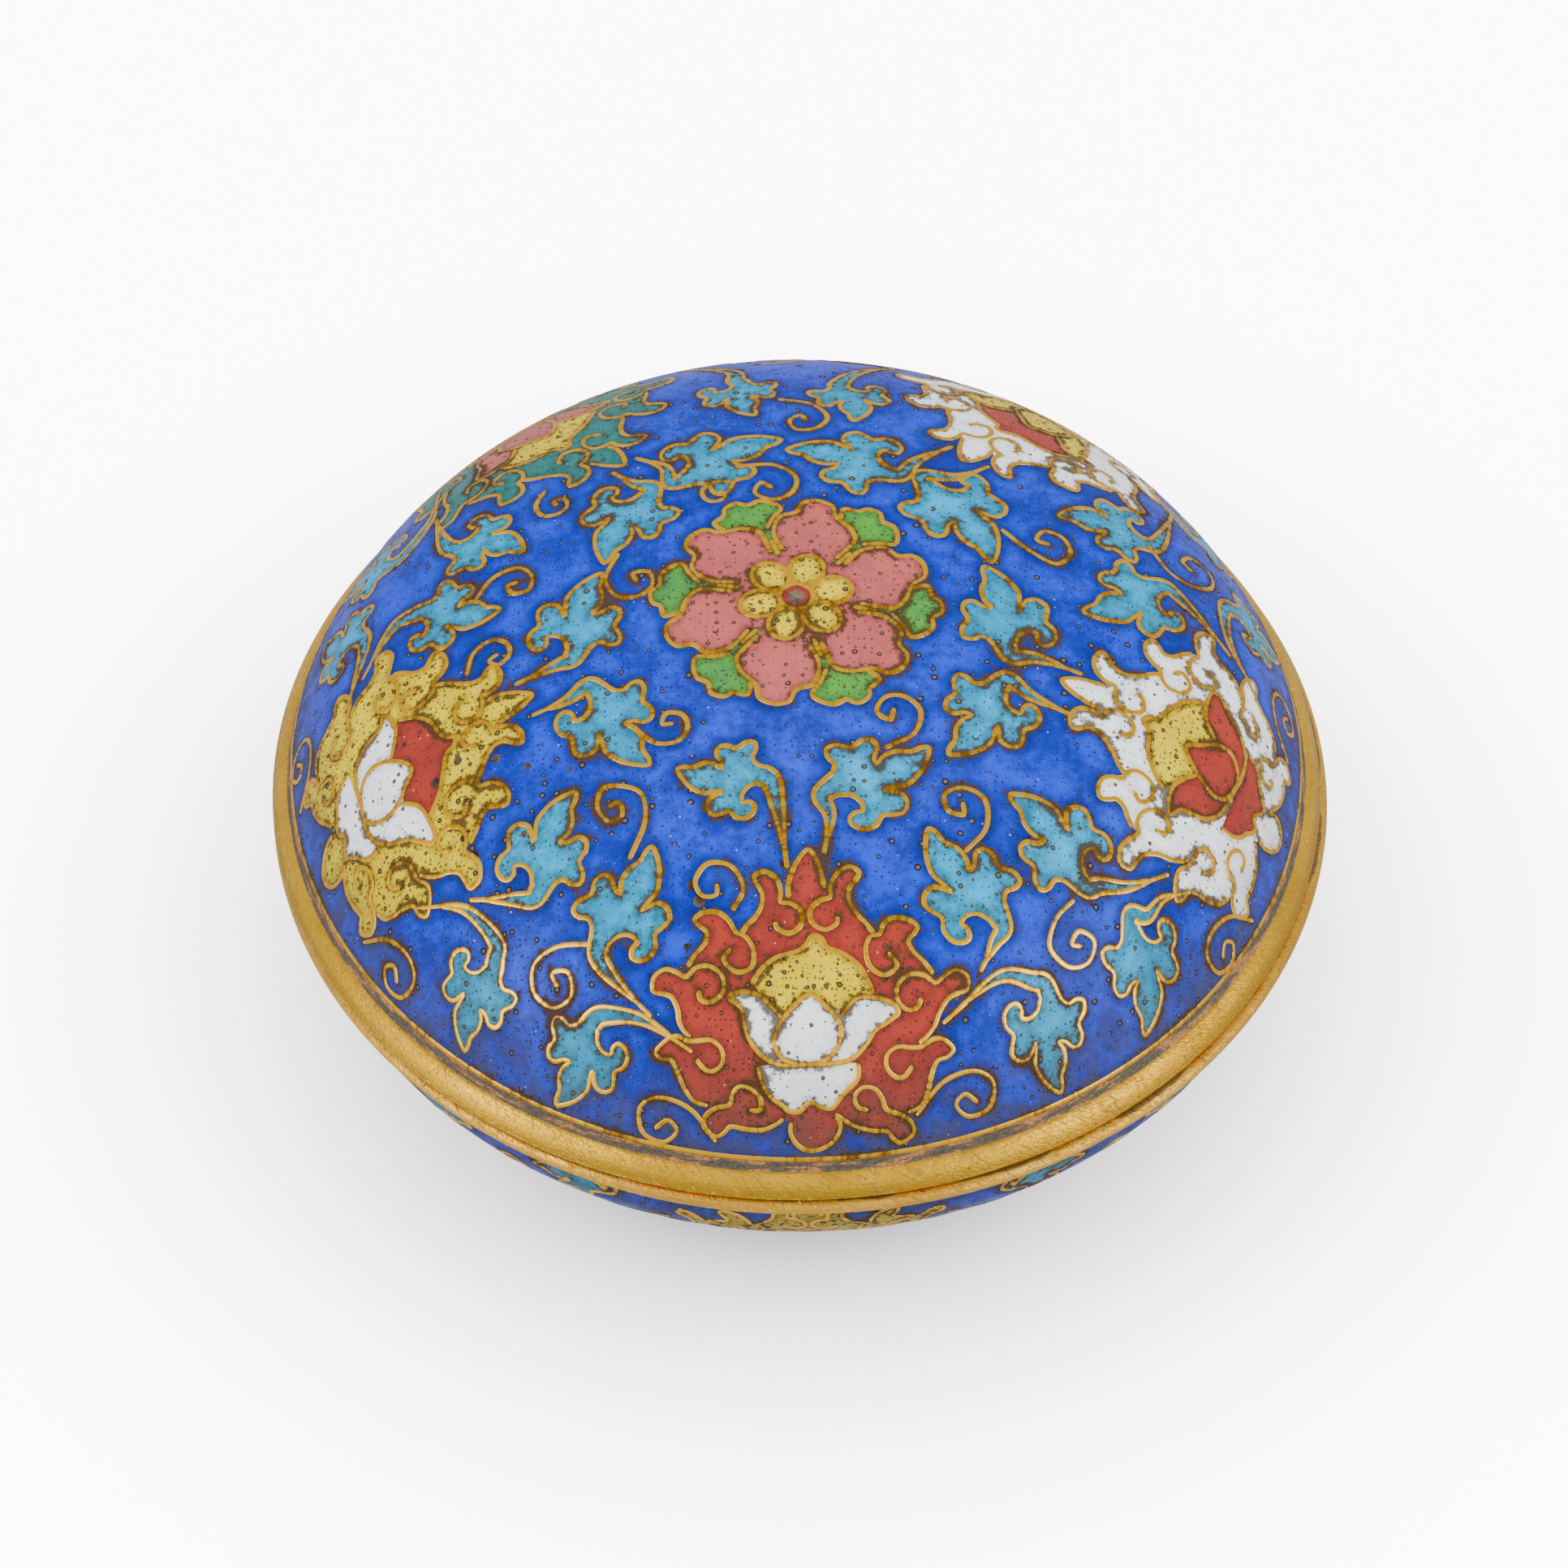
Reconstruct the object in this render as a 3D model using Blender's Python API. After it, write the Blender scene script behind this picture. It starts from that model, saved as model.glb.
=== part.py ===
"""A round enamelled copper box with a domed lid that lifts off.

Five solids share one upright axis: the lid's shell and its gilt mouth band, and the lower bowl with its
gilt mouth band and foot ring. The box is empty, and both shells have walls of true thickness.
Profiles are lists of (radius, height) in millimetres. Height 0 is the seam between lid and bowl while a
profile is written, and the whole object is lifted so that the foot stands on the ground plane.
"""
import math

import bmesh
import bpy
from mathutils import Matrix, Vector

MM = 0.001

# Mouth bands and seam
RIM_RADIUS = 40.2          # outermost radius, on the bowl's mouth band
RIM_DEPTH = 1.2            # height of the bowl's mouth band below the seam
BAND_SETBACK = 0.3         # the lid's band stands this far inside the bowl's
BAND_HEIGHT = 2.1          # top edge of the lid's band above the seam
GAP = 0.3                  # clearance kept between neighbouring pieces

# Lid
LID_EDGE_INSET = 1.5       # from the lid band's outside in to the edge of the enamel
LID_EDGE_HEIGHT = 3.0      # edge of the enamel above the seam
DOME_HEIGHT = 18.5         # crown above the edge of the enamel
LID_WALL = 1.8
LID_SHIFT = 0.3            # the loose lid sits this far to the left, within the lip's slack

# Lip that locates the lid
LIP_SLACK = 0.6            # radial play between the lip and the inside of the lid
LIP_THICKNESS = 1.1
LIP_HEIGHT = 3.0

# Bowl
BOWL_EDGE_INSET = 1.2      # from the mouth band's outside in to the top of the enamelled wall
BOWL_DEPTH = 15.0
BOWL_WALL = 1.8

# Foot
FOOT_RADIUS = 25.0
FOOT_THICKNESS = 1.8
FOOT_FLARE = 0.6           # the foot's outside spreads by this much toward the ground
FLOOR_CLEARANCE = 1.35     # the lowest point of the bowl stands this far above the ground

# Form of the two curves
DOME_TERMS = ((2, 0.43), (4, 0.17), (8, 0.32), (16, 0.08))   # (power, share of the fall) of the dome
BOWL_POWER = 3.0           # exponent of the bowl's superellipse
DOME_STEPS = 11
BOWL_STEPS = 11

SEGMENTS = 64              # sides of every turned piece

# Worked out from the above
LID_BAND_RADIUS = RIM_RADIUS - BAND_SETBACK
LID_EDGE_RADIUS = LID_BAND_RADIUS - LID_EDGE_INSET
LID_INNER_RADIUS = LID_EDGE_RADIUS - LID_WALL
LID_SEAT_HEIGHT = BAND_HEIGHT - 1.1
LIP_RADIUS = LID_INNER_RADIUS - LIP_SLACK
BOWL_EDGE_RADIUS = RIM_RADIUS - BOWL_EDGE_INSET
BOWL_TOP = -GAP / 2 - RIM_DEPTH - GAP
SEAM_HEIGHT = BOWL_DEPTH - BOWL_TOP + FLOOR_CLEARANCE   # seam above the ground


def dome_height(radius):
    """Height of the dome's outside above the seam at a radius."""
    share = min(radius / LID_EDGE_RADIUS, 1.0)
    fall = sum(weight * share ** power for power, weight in DOME_TERMS)
    return LID_EDGE_HEIGHT + DOME_HEIGHT * (1.0 - fall)


def dome_curve():
    """Outside of the dome from crown to edge, with closer points where it turns down."""
    points = []
    for step in range(DOME_STEPS + 1):
        radius = LID_EDGE_RADIUS * math.sin(0.5 * math.pi * step / DOME_STEPS)
        points.append((radius, dome_height(radius)))
    return points


def bowl_curve():
    """Outside of the bowl from its mouth to the middle of its floor."""
    points = []
    for step in range(BOWL_STEPS + 1):
        angle = 0.5 * math.pi * step / BOWL_STEPS
        share = math.cos(angle) if step < BOWL_STEPS else 0.0
        radius = BOWL_EDGE_RADIUS * share ** (2.0 / BOWL_POWER)
        points.append((radius, BOWL_TOP - BOWL_DEPTH * math.sin(angle)))
    return points


def bowl_height(radius):
    """Height of the bowl's outside at a radius, below the seam."""
    share = min(radius / BOWL_EDGE_RADIUS, 1.0)
    return BOWL_TOP - BOWL_DEPTH * math.sqrt(1.0 - share ** BOWL_POWER)


def inset_curve(points, wall):
    """The curve moved inward by the wall, at right angles to itself."""
    moved = []
    for index, (radius, height) in enumerate(points):
        before = Vector(points[max(index - 1, 0)])
        after = Vector(points[min(index + 1, len(points) - 1)])
        along = (after - before).normalized()
        inward = Vector((-abs(along.y), -math.copysign(abs(along.x), height - BOWL_TOP)))
        place = Vector((radius, height)) + inward * wall
        moved.append((max(place.x, 0.0) if radius > 0.0 else 0.0, place.y))
    return moved


def make_material(name, colour, roughness, metallic):
    material = bpy.data.materials.new(name)
    material.use_nodes = True
    shader = material.node_tree.nodes["Principled BSDF"]
    shader.inputs["Base Color"].default_value = (*colour, 1.0)
    shader.inputs["Roughness"].default_value = roughness
    shader.inputs["Metallic"].default_value = metallic
    return material


def turned_solid(name, outline, material, shift=0.0):
    """Spin a closed outline round the upright axis. Points at radius 0 lie on the axis."""
    mesh_data = bmesh.new()
    ring = [mesh_data.verts.new((radius * MM, 0.0, (height + SEAM_HEIGHT) * MM)) for radius, height in outline]
    on_axis = [radius == 0.0 for radius, _ in outline]
    edges = []
    for index in range(len(ring)):
        following = (index + 1) % len(ring)
        if not (on_axis[index] and on_axis[following]):
            edges.append(mesh_data.edges.new((ring[index], ring[following])))
    bmesh.ops.spin(mesh_data, geom=ring + edges, cent=(0, 0, 0), axis=(0, 0, 1),
                   angle=2.0 * math.pi, steps=SEGMENTS, use_merge=True)
    bmesh.ops.remove_doubles(mesh_data, verts=mesh_data.verts, dist=0.001 * MM)
    bmesh.ops.recalc_face_normals(mesh_data, faces=mesh_data.faces)
    mesh = bpy.data.meshes.new(name)
    mesh_data.to_mesh(mesh)
    mesh_data.free()
    mesh.materials.append(material)
    solid = bpy.data.objects.new(name, mesh)
    solid.location.x = shift * MM
    bpy.context.collection.objects.link(solid)
    return solid


def lid_shell(enamel):
    outside = dome_curve()
    inside = inset_curve(outside, LID_WALL)[:-1]
    seat = LID_SEAT_HEIGHT + GAP
    outline = outside + [(LID_EDGE_RADIUS, seat), (LID_INNER_RADIUS, seat)] + inside[::-1]
    return turned_solid("lid_shell", outline, enamel, -LID_SHIFT)


def lid_band(gilt):
    """The lid's mouth band: a convex outside and a step inside that the shell sits on."""
    foot = GAP / 2
    top = BAND_HEIGHT
    groove = LID_EDGE_RADIUS + GAP
    bulge = LID_BAND_RADIUS - groove
    outline = [(LID_INNER_RADIUS, foot), (LID_BAND_RADIUS - 0.25, foot)]
    for angle in (0, 25, 50, 72, 90):
        turn = math.radians(angle)
        low = foot + 0.35
        outline.append((groove + 0.15 + (bulge - 0.15) * math.cos(turn), low + (top - low) * math.sin(turn)))
    outline += [(groove, top - 0.15), (groove, LID_SEAT_HEIGHT), (LID_INNER_RADIUS, LID_SEAT_HEIGHT)]
    return turned_solid("lid_band", outline, gilt, -LID_SHIFT)


def box_band(gilt):
    """The bowl's mouth band: a round edge outside and the upright lip inside."""
    top = -GAP / 2
    bottom = top - RIM_DEPTH
    inner = LIP_RADIUS - LIP_THICKNESS
    outline = [(inner, LIP_HEIGHT), (LIP_RADIUS - 0.3, LIP_HEIGHT), (LIP_RADIUS, LIP_HEIGHT - 0.4),
               (LIP_RADIUS, top)]
    half = RIM_DEPTH / 2
    for angle in (80, 40, 0, -40, -80):
        turn = math.radians(angle)
        outline.append((RIM_RADIUS - half + half * math.cos(turn), top - half + half * math.sin(turn)))
    outline += [(inner, bottom)]
    return turned_solid("box_band", outline, gilt)


def box_shell(enamel):
    outside = bowl_curve()
    inside = inset_curve(outside, BOWL_WALL)
    inside[0] = (BOWL_EDGE_RADIUS - BOWL_WALL, BOWL_TOP)
    return turned_solid("box_shell", outside + inside[::-1], enamel)


def foot_ring(gilt):
    inner = FOOT_RADIUS - FOOT_THICKNESS
    outline = [(FOOT_RADIUS, bowl_height(FOOT_RADIUS) - GAP),
               (FOOT_RADIUS, bowl_height(FOOT_RADIUS) - GAP - 1.0),
               (FOOT_RADIUS + FOOT_FLARE, -SEAM_HEIGHT + 0.5),
               (FOOT_RADIUS + FOOT_FLARE, -SEAM_HEIGHT),
               (inner, -SEAM_HEIGHT),
               (inner, bowl_height(inner) - GAP)]
    return turned_solid("foot_ring", outline, gilt)


def main():
    for item in list(bpy.data.objects):
        bpy.data.objects.remove(item, do_unlink=True)
    enamel = make_material("enamel_blue", (0.02, 0.09, 0.52), 0.25, 0.0)
    gilt = make_material("gilt", (0.83, 0.58, 0.20), 0.32, 1.0)
    lid_shell(enamel)
    lid_band(gilt)
    box_band(gilt)
    box_shell(enamel)
    foot_ring(gilt)


main()
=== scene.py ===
"""The looks of the enamelled box: wires, coloured cells, gilt bands and the view, round the CAD frame."""

import math
import random

import bmesh
import bpy
import numpy as np
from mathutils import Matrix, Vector
from mathutils.geometry import delaunay_2d_cdt
from mathutils.kdtree import KDTree


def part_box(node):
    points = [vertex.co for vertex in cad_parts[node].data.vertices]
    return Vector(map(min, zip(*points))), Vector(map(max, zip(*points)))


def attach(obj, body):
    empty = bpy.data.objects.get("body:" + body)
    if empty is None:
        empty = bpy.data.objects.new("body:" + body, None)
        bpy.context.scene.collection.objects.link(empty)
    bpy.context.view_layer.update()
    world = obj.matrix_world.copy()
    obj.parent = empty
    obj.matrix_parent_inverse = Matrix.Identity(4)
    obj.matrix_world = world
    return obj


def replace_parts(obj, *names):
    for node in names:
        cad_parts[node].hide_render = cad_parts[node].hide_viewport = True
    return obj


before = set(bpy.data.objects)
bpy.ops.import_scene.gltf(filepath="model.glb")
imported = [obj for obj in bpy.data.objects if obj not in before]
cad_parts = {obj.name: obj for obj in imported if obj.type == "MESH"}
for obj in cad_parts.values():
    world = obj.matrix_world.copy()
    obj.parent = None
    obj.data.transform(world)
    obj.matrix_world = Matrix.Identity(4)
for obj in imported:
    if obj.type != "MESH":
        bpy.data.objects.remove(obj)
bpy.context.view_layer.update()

MM = 0.001

# Form of the lid and bowl, as in the CAD part (mm)
DOME_TERMS = ((2, 0.43), (4, 0.17), (8, 0.32), (16, 0.08))
LID_EDGE_RADIUS = 38.4
LID_EDGE_HEIGHT = 3.0
DOME_HEIGHT = 18.5
LID_WALL = 1.8
LID_INNER_RADIUS = LID_EDGE_RADIUS - LID_WALL
BOWL_EDGE_RADIUS = 39.0
BOWL_TOP = -1.65
BOWL_DEPTH = 15.0
BOWL_WALL = 1.8
BOWL_POWER = 3.0
FOOT_RADIUS = 25.0
FOOT_INNER = 23.2
SEAM_HEIGHT = 18.0

# Lotus, right half. x and y are on the flat map of the front flower, whose own axis is at LOTUS_AXIS.
LOTUS_AXIS = 0.9
ARCH = [(-0.2, -25.5), (-0.3, -24.5), (0.2, -22.8), (0.8, -22.1), (1.5, -23.0), (2.2, -25.0)]
ARCH_TIP = 3               # the point of ARCH at its top
PETALS = [
    [(3.1, -27.3), (3.0, -27.8), (2.1, -28.3), (1.3, -27.7), (1.2, -26.6), (1.9, -25.9), (2.6, -25.7),
     (2.6, -24.9), (3.0, -24.0), (4.0, -23.5), (4.8, -23.8), (4.7, -24.2), (4.1, -25.0), (4.1, -25.9),
     (4.8, -27.0), (5.5, -27.7), (6.0, -28.4)],
    [(6.9, -29.6), (7.5, -30.4), (6.6, -31.2), (5.5, -30.8), (5.2, -29.5), (5.7, -28.6), (6.4, -28.3),
     (6.7, -27.5), (7.4, -26.8), (8.5, -26.8), (9.1, -27.3), (8.8, -27.9), (8.4, -28.4), (8.6, -29.2),
     (9.5, -30.1), (10.1, -30.8)],
    [(9.3, -32.4), (9.1, -33.1), (8.4, -33.3), (7.6, -32.6), (7.6, -31.6), (8.4, -30.9), (9.4, -30.9),
     (10.3, -31.4), (11.0, -31.0), (12.0, -30.6), (13.0, -31.0), (13.1, -31.9), (12.3, -32.2),
     (11.6, -32.5), (11.0, -33.5), (10.8, -34.5), (10.2, -35.5), (9.7, -35.9)],
    [(9.4, -37.7), (8.8, -38.5), (8.2, -38.6), (7.5, -38.0), (7.5, -37.0), (8.2, -36.3), (9.2, -36.3),
     (10.0, -36.2), (11.0, -35.6), (12.0, -35.8), (12.9, -36.6), (12.4, -37.2), (11.6, -37.4),
     (11.1, -38.5), (10.8, -39.6), (10.2, -40.6), (9.1, -41.1)],
    [(5.9, -41.3), (5.0, -41.2), (4.8, -40.4), (5.5, -39.7), (6.5, -39.6), (7.1, -40.2), (7.4, -41.0),
     (8.5, -41.3), (9.4, -41.9), (9.7, -42.8), (9.2, -43.5), (8.6, -43.8), (8.0, -43.4), (7.6, -42.9),
     (6.4, -43.0), (4.9, -42.9), (3.7, -42.4), (2.9, -41.9)],
]
PETAL_OUTER = 7            # from this point on, a petal's wire is on the flower's outline
POD = [(-3.7, -31.9), (-2.8, -30.8), (-1.5, -30.0), (0.0, -29.7), (0.7, -29.3), (1.15, -28.7),
       (1.8, -29.0), (2.0, -29.6), (3.2, -30.1), (4.6, -30.9), (5.4, -31.9), (5.8, -32.6)]
CUP = [(-1.0, -34.2), (-2.0, -33.3), (-3.0, -32.6), (-4.5, -32.5), (-5.4, -32.9), (-4.4, -33.6),
       (-4.1, -34.6), (-3.7, -35.8), (-2.5, -37.2), (-1.0, -37.9), (0.8, -38.1), (2.6, -38.2),
       (4.6, -37.8), (5.8, -36.6), (6.4, -35.3), (7.3, -34.3), (7.8, -33.6), (7.5, -33.1), (6.0, -32.8),
       (4.5, -33.1), (3.4, -34.4)]
DROP = [(0.9, -32.7), (2.2, -33.8), (3.3, -35.0), (3.6, -36.2), (3.2, -37.2), (2.2, -38.0), (0.4, -38.0),
        (-0.8, -37.4), (-1.4, -36.2), (-1.2, -35.0), (-0.6, -33.9)]
APRON = [(-2.9, -38.0), (-2.6, -39.3), (-2.0, -40.2), (-1.1, -40.8), (-0.6, -41.3), (0.2, -41.4),
         (1.0, -40.8), (1.9, -41.3), (2.7, -41.4), (3.3, -40.8), (4.0, -40.1), (4.8, -39.5), (5.2, -38.9),
         (5.2, -38.0)]
POD_FOOT = [(3.4, -34.4), (-1.0, -34.2)]               # closes the pod's cell behind the cup
CUP_FOOT = [(2.0, -33.4), (0.9, -34.6), (0.0, -33.6)]  # closes the cup's cell behind the drop
KNOB = [(-0.5, -42.2), (-0.55, -43.2), (0.0, -44.3), (0.8, -44.9), (1.7, -45.0), (2.6, -44.6),
        (3.2, -43.9), (3.4, -42.9), (3.0, -42.0)]

# Leaf with its tip up. It runs from the inner side of the tail over the curl, the lobes and the tip to the
# outer side of the tail.
LEAF = [(0.3, -2.6), (-0.3, -1.7), (-1.2, -1.4), (-1.8, -1.7), (-1.6, -2.3), (-1.8, -2.9), (-2.4, -3.0),
        (-3.1, -2.5), (-3.3, -1.5), (-2.9, -0.6), (-3.3, 0.2), (-3.5, 0.9), (-3.0, 1.6), (-2.2, 1.7),
        (-1.6, 1.2), (-1.2, 0.7), (-1.4, 1.5), (-1.7, 2.5), (-1.3, 4.0), (-0.5, 5.2), (0.1, 5.7),
        (0.4, 5.2), (0.5, 4.3), (1.1, 3.3), (1.2, 2.2), (0.9, 1.4), (1.5, 1.6), (2.1, 2.3), (2.8, 2.3),
        (3.2, 1.6), (3.1, 0.6), (3.9, -0.3), (4.0, -1.1), (3.4, -1.4), (2.6, -1.3), (2.1, -1.8),
        (1.9, -2.6)]
LEAF_TIP = 5.7             # distance of the tip from the leaf's own middle
TAIL_START = (1.1, -2.6)   # middle of the tail where it leaves the leaf
TAIL_WIDTH = 1.6
TAIL_END = 0.8             # share of the stem after which the tail is a single wire

LINE_STEP = 0.22           # distance between the samples of a smooth line
BORDER_INSET = 0.2         # from a pattern's edge in to the middle of its border wire
WAVER = 0.22               # how far a flower's points stray from the drawn ones


def smooth_line(points, closed=False, step=LINE_STEP):
    """A curve through given points, and the number of the sample at each of those points."""
    places = np.asarray(points, float)
    count = len(places)
    if closed:
        padded = np.vstack([places[-1], places, places[0], places[1]])
    else:
        padded = np.vstack([2 * places[0] - places[1], places, 2 * places[-1] - places[-2]])
    samples, marks = [], []
    for index in range(count if closed else count - 1):
        before, start, end, after = padded[index:index + 4]
        knots = [0.0]
        for first, second in ((before, start), (start, end), (end, after)):
            knots.append(knots[-1] + max(np.linalg.norm(second - first), 1e-6) ** 0.5)
        marks.append(len(samples))
        parts = max(1, math.ceil(np.linalg.norm(end - start) / step))
        for part in range(parts):
            t = knots[1] + (knots[2] - knots[1]) * part / parts
            a1 = (before * (knots[1] - t) + start * t) / knots[1]
            a2 = (start * (knots[2] - t) + end * (t - knots[1])) / (knots[2] - knots[1])
            a3 = (end * (knots[3] - t) + after * (t - knots[2])) / (knots[3] - knots[2])
            b1 = (a1 * (knots[2] - t) + a2 * t) / knots[2]
            b2 = (a2 * (knots[3] - t) + a3 * (t - knots[1])) / (knots[3] - knots[1])
            samples.append((b1 * (knots[2] - t) + b2 * (t - knots[1])) / (knots[2] - knots[1]))
    if not closed:
        marks.append(len(samples))
        samples.append(places[-1])
    return np.array(samples), marks


def circle(count, radius=1.0):
    """Points evenly round a circle, the first one to the right."""
    angles = np.linspace(0.0, 2.0 * math.pi, count, endpoint=False)
    return radius * np.stack([np.cos(angles), np.sin(angles)], axis=1)


def turned(points, degrees):
    angle = math.radians(degrees)
    matrix = np.array([[math.cos(angle), math.sin(angle)], [-math.sin(angle), math.cos(angle)]])
    return np.asarray(points, float) @ matrix


class Pattern:
    """Cells of colour in painter's order and the wires between them, on a flat map in millimetres."""

    def __init__(self):
        self.cells = []
        self.wires = []
        self.pits = []

    def cell(self, colour, outline):
        self.cells.append((colour, np.asarray(outline, float)))

    def wire(self, line):
        self.wires.append(np.asarray(line, float))

    def closed_wire(self, line):
        self.wires.append(np.vstack([line, line[:1]]))

    def border(self, limit):
        """The wire that closes the pattern, just inside its edge."""
        angles = np.linspace(0.0, 2.0 * math.pi, 720)
        self.wires.append((limit - BORDER_INSET) * np.stack([np.sin(angles), -np.cos(angles)], axis=1))


def hand_waver(points, seed):
    """Small smooth shifts, as no two flowers bent by hand are alike."""
    x, y = np.asarray(points, float).T
    phase = seed * 1.7
    shift_x = np.sin(0.55 * y + phase) + 0.6 * np.sin(0.9 * x + 2.1 * phase)
    shift_y = np.sin(0.6 * x + 1.3 * phase) + 0.6 * np.sin(0.8 * y + 0.7 * phase)
    return np.stack([x + WAVER * shift_x, y + WAVER * shift_y], axis=1)


def lotus(pattern, degrees, colours, seed=0, shift=(0.0, 0.0), flip=None, squeeze=1.0):
    """One flower. colours are those of petals, pod, cup, apron and knob, and flip maps it to the bowl."""
    petals_colour, pod_colour, cup_colour, apron_colour, knob_colour = colours

    tip_y = ARCH[ARCH_TIP][1]

    def put(points, mirrored=False):
        local = np.asarray(points, float) - (LOTUS_AXIS, 0.0)
        if mirrored:
            local = local * (-1.0, 1.0)
        local = hand_waver(local, seed)
        local[:, 1] = tip_y + (local[:, 1] - tip_y) * squeeze
        local = local + shift
        if flip is not None:
            local = flip(local)
        return turned(local, degrees)

    arch, arch_marks = smooth_line(put(ARCH))
    sides = []
    for mirrored in (False, True):
        chain = []
        for petal in PETALS:
            line, marks = smooth_line(put(petal, mirrored))
            pattern.wire(line)
            chain.append(line[marks[PETAL_OUTER]:])
        sides.append(np.vstack(chain))
    tip = arch_marks[ARCH_TIP]
    knob, _ = smooth_line(put(KNOB))
    outline = np.vstack([arch[tip:], sides[0], knob[::-1], sides[1][::-1], arch[:tip]])
    pattern.cell(petals_colour, outline)
    pattern.wire(arch)
    knob_closed, _ = smooth_line(put(KNOB), closed=True)
    pattern.cell(knob_colour, knob_closed)
    pattern.wire(knob)
    parts = ((POD, pod_colour, POD_FOOT), (CUP, cup_colour, CUP_FOOT), (APRON, apron_colour, APRON[:1]))
    for points, colour, foot in parts:
        line, _ = smooth_line(put(points))
        pattern.cell(colour, np.vstack([line, put(foot)]))
        pattern.wire(line)
    drop, _ = smooth_line(put(DROP), closed=True)
    pattern.cell(cup_colour, drop)
    pattern.closed_wire(drop)


def leaf(pattern, degrees, centre, tip, stem, curl_right, flip=None):
    """One leaf with a tail that runs along the stem's points and thins to a single wire."""
    centre = np.asarray(centre, float)
    reach = np.asarray(tip, float) - centre
    length = np.linalg.norm(reach)
    along = reach / length
    across = np.array([along[1], -along[0]])
    if curl_right:
        across = -across
    size_along = length / LEAF_TIP
    size_across = 0.5 * (1.0 + size_along)

    def place(points):
        x, y = np.asarray(points, float).T
        return centre + np.outer(x * size_across, across) + np.outer(y * size_along, along)

    blade, _ = smooth_line(place(LEAF))
    root = place([TAIL_START, (TAIL_START[0] - 0.2, TAIL_START[1] - 1.0)])
    spine, _ = smooth_line(np.vstack([root, np.asarray(stem, float)]))
    steps = len(spine)
    tangent = np.gradient(spine, axis=0)
    tangent /= np.linalg.norm(tangent, axis=1)[:, None] + 1e-9
    side = np.stack([-tangent[:, 1], tangent[:, 0]], axis=1)
    if np.dot(side[0], blade[0] - spine[0]) < 0:
        side = -side
    share = np.linspace(0.0, 1.0, steps)
    half = 0.5 * TAIL_WIDTH * np.clip(1.0 - share / TAIL_END, 0.0, 1.0) ** 0.9
    inner = spine + side * half[:, None]
    outer = spine - side * half[:, None]
    thin = int(steps * TAIL_END)

    def finish(points):
        points = points if flip is None else flip(points)
        return turned(points, degrees)

    pattern.cell("turquoise", finish(np.vstack([inner[:thin][::-1], blade, outer[:thin]])))
    pattern.wire(finish(np.vstack([inner[1:thin][::-1], blade, outer[1:]])))


def tendril(pattern, degrees, points):
    line, _ = smooth_line(turned(points, degrees))
    pattern.wire(line)


# Six-petalled flower on the crown
ROSETTE_CENTRE = (0.0, 0.2)
ROSETTE_PETALS = 6
ROSETTE_GROUND = 5.0       # radius of the pink under the petals
INNER_PETAL_REACH = 2.75   # from the flower's middle to that of a yellow petal
INNER_PETAL_LENGTH = 1.5   # half of its length
INNER_PETAL_WIDTH = 1.3    # half of its width
INNER_PETAL_START = 74.0   # direction of the first one in degrees
EYE_RADIUS = 1.2
EYE_PIT_RADIUS = 0.62
PINK_PETAL = [(-1.0, 4.7), (-1.7, 6.5), (-1.2, 8.3), (0.0, 8.8), (0.5, 9.8), (1.5, 10.1), (2.7, 9.5),
              (3.0, 8.3), (4.1, 7.0), (4.4, 5.8), (3.8, 4.9), (2.9, 3.8)]
GREEN_LEAF = [(3.3, 8.0), (3.6, 9.2), (4.7, 9.0), (5.3, 9.3), (6.3, 8.9), (6.5, 8.0), (7.3, 7.5),
              (7.6, 6.5), (7.4, 5.6), (6.2, 5.6), (4.9, 5.4)]
GREEN_BASE = [(4.75, 4.75), (3.5, 3.1), (2.7, 3.3)]      # the leaf's colour between and under the petals
PETAL_SEAM = [(2.95, 3.2), (3.5, 3.85), (4.05, 4.5)]     # gold where the wires of two petals meet


def rosette(pattern):
    centre = np.array(ROSETTE_CENTRE)
    ring = circle(30)
    turns = [step * 360.0 / ROSETTE_PETALS for step in range(ROSETTE_PETALS)]
    pattern.cell("pink", centre + ROSETTE_GROUND * ring)
    for turn in turns:
        line, _ = smooth_line(turned(GREEN_LEAF, -turn) + centre)
        pattern.cell("green", np.vstack([line, turned(GREEN_BASE, -turn) + centre]))
        pattern.wire(line)
    for turn in turns:
        line, _ = smooth_line(turned(PINK_PETAL, -turn) + centre)
        pattern.cell("pink", np.vstack([line, centre[None, :]]))
        pattern.wire(line)
        seam, _ = smooth_line(turned(PETAL_SEAM, -turn) + centre)
        pattern.wire(seam)
    for turn in turns:
        angle = math.radians(INNER_PETAL_START + turn)
        out = np.array([math.cos(angle), math.sin(angle)])
        across = np.array([-out[1], out[0]])
        line = (centre + INNER_PETAL_REACH * out + INNER_PETAL_LENGTH * ring[:, :1] * out
                + INNER_PETAL_WIDTH * ring[:, 1:] * across)
        pattern.cell("yellow", line)
        pattern.closed_wire(line)
    pattern.cell("red", centre + EYE_RADIUS * ring)
    pattern.closed_wire(centre + (EYE_RADIUS + 0.05) * ring)
    pattern.cell("pit", centre + EYE_PIT_RADIUS * ring)


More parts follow.
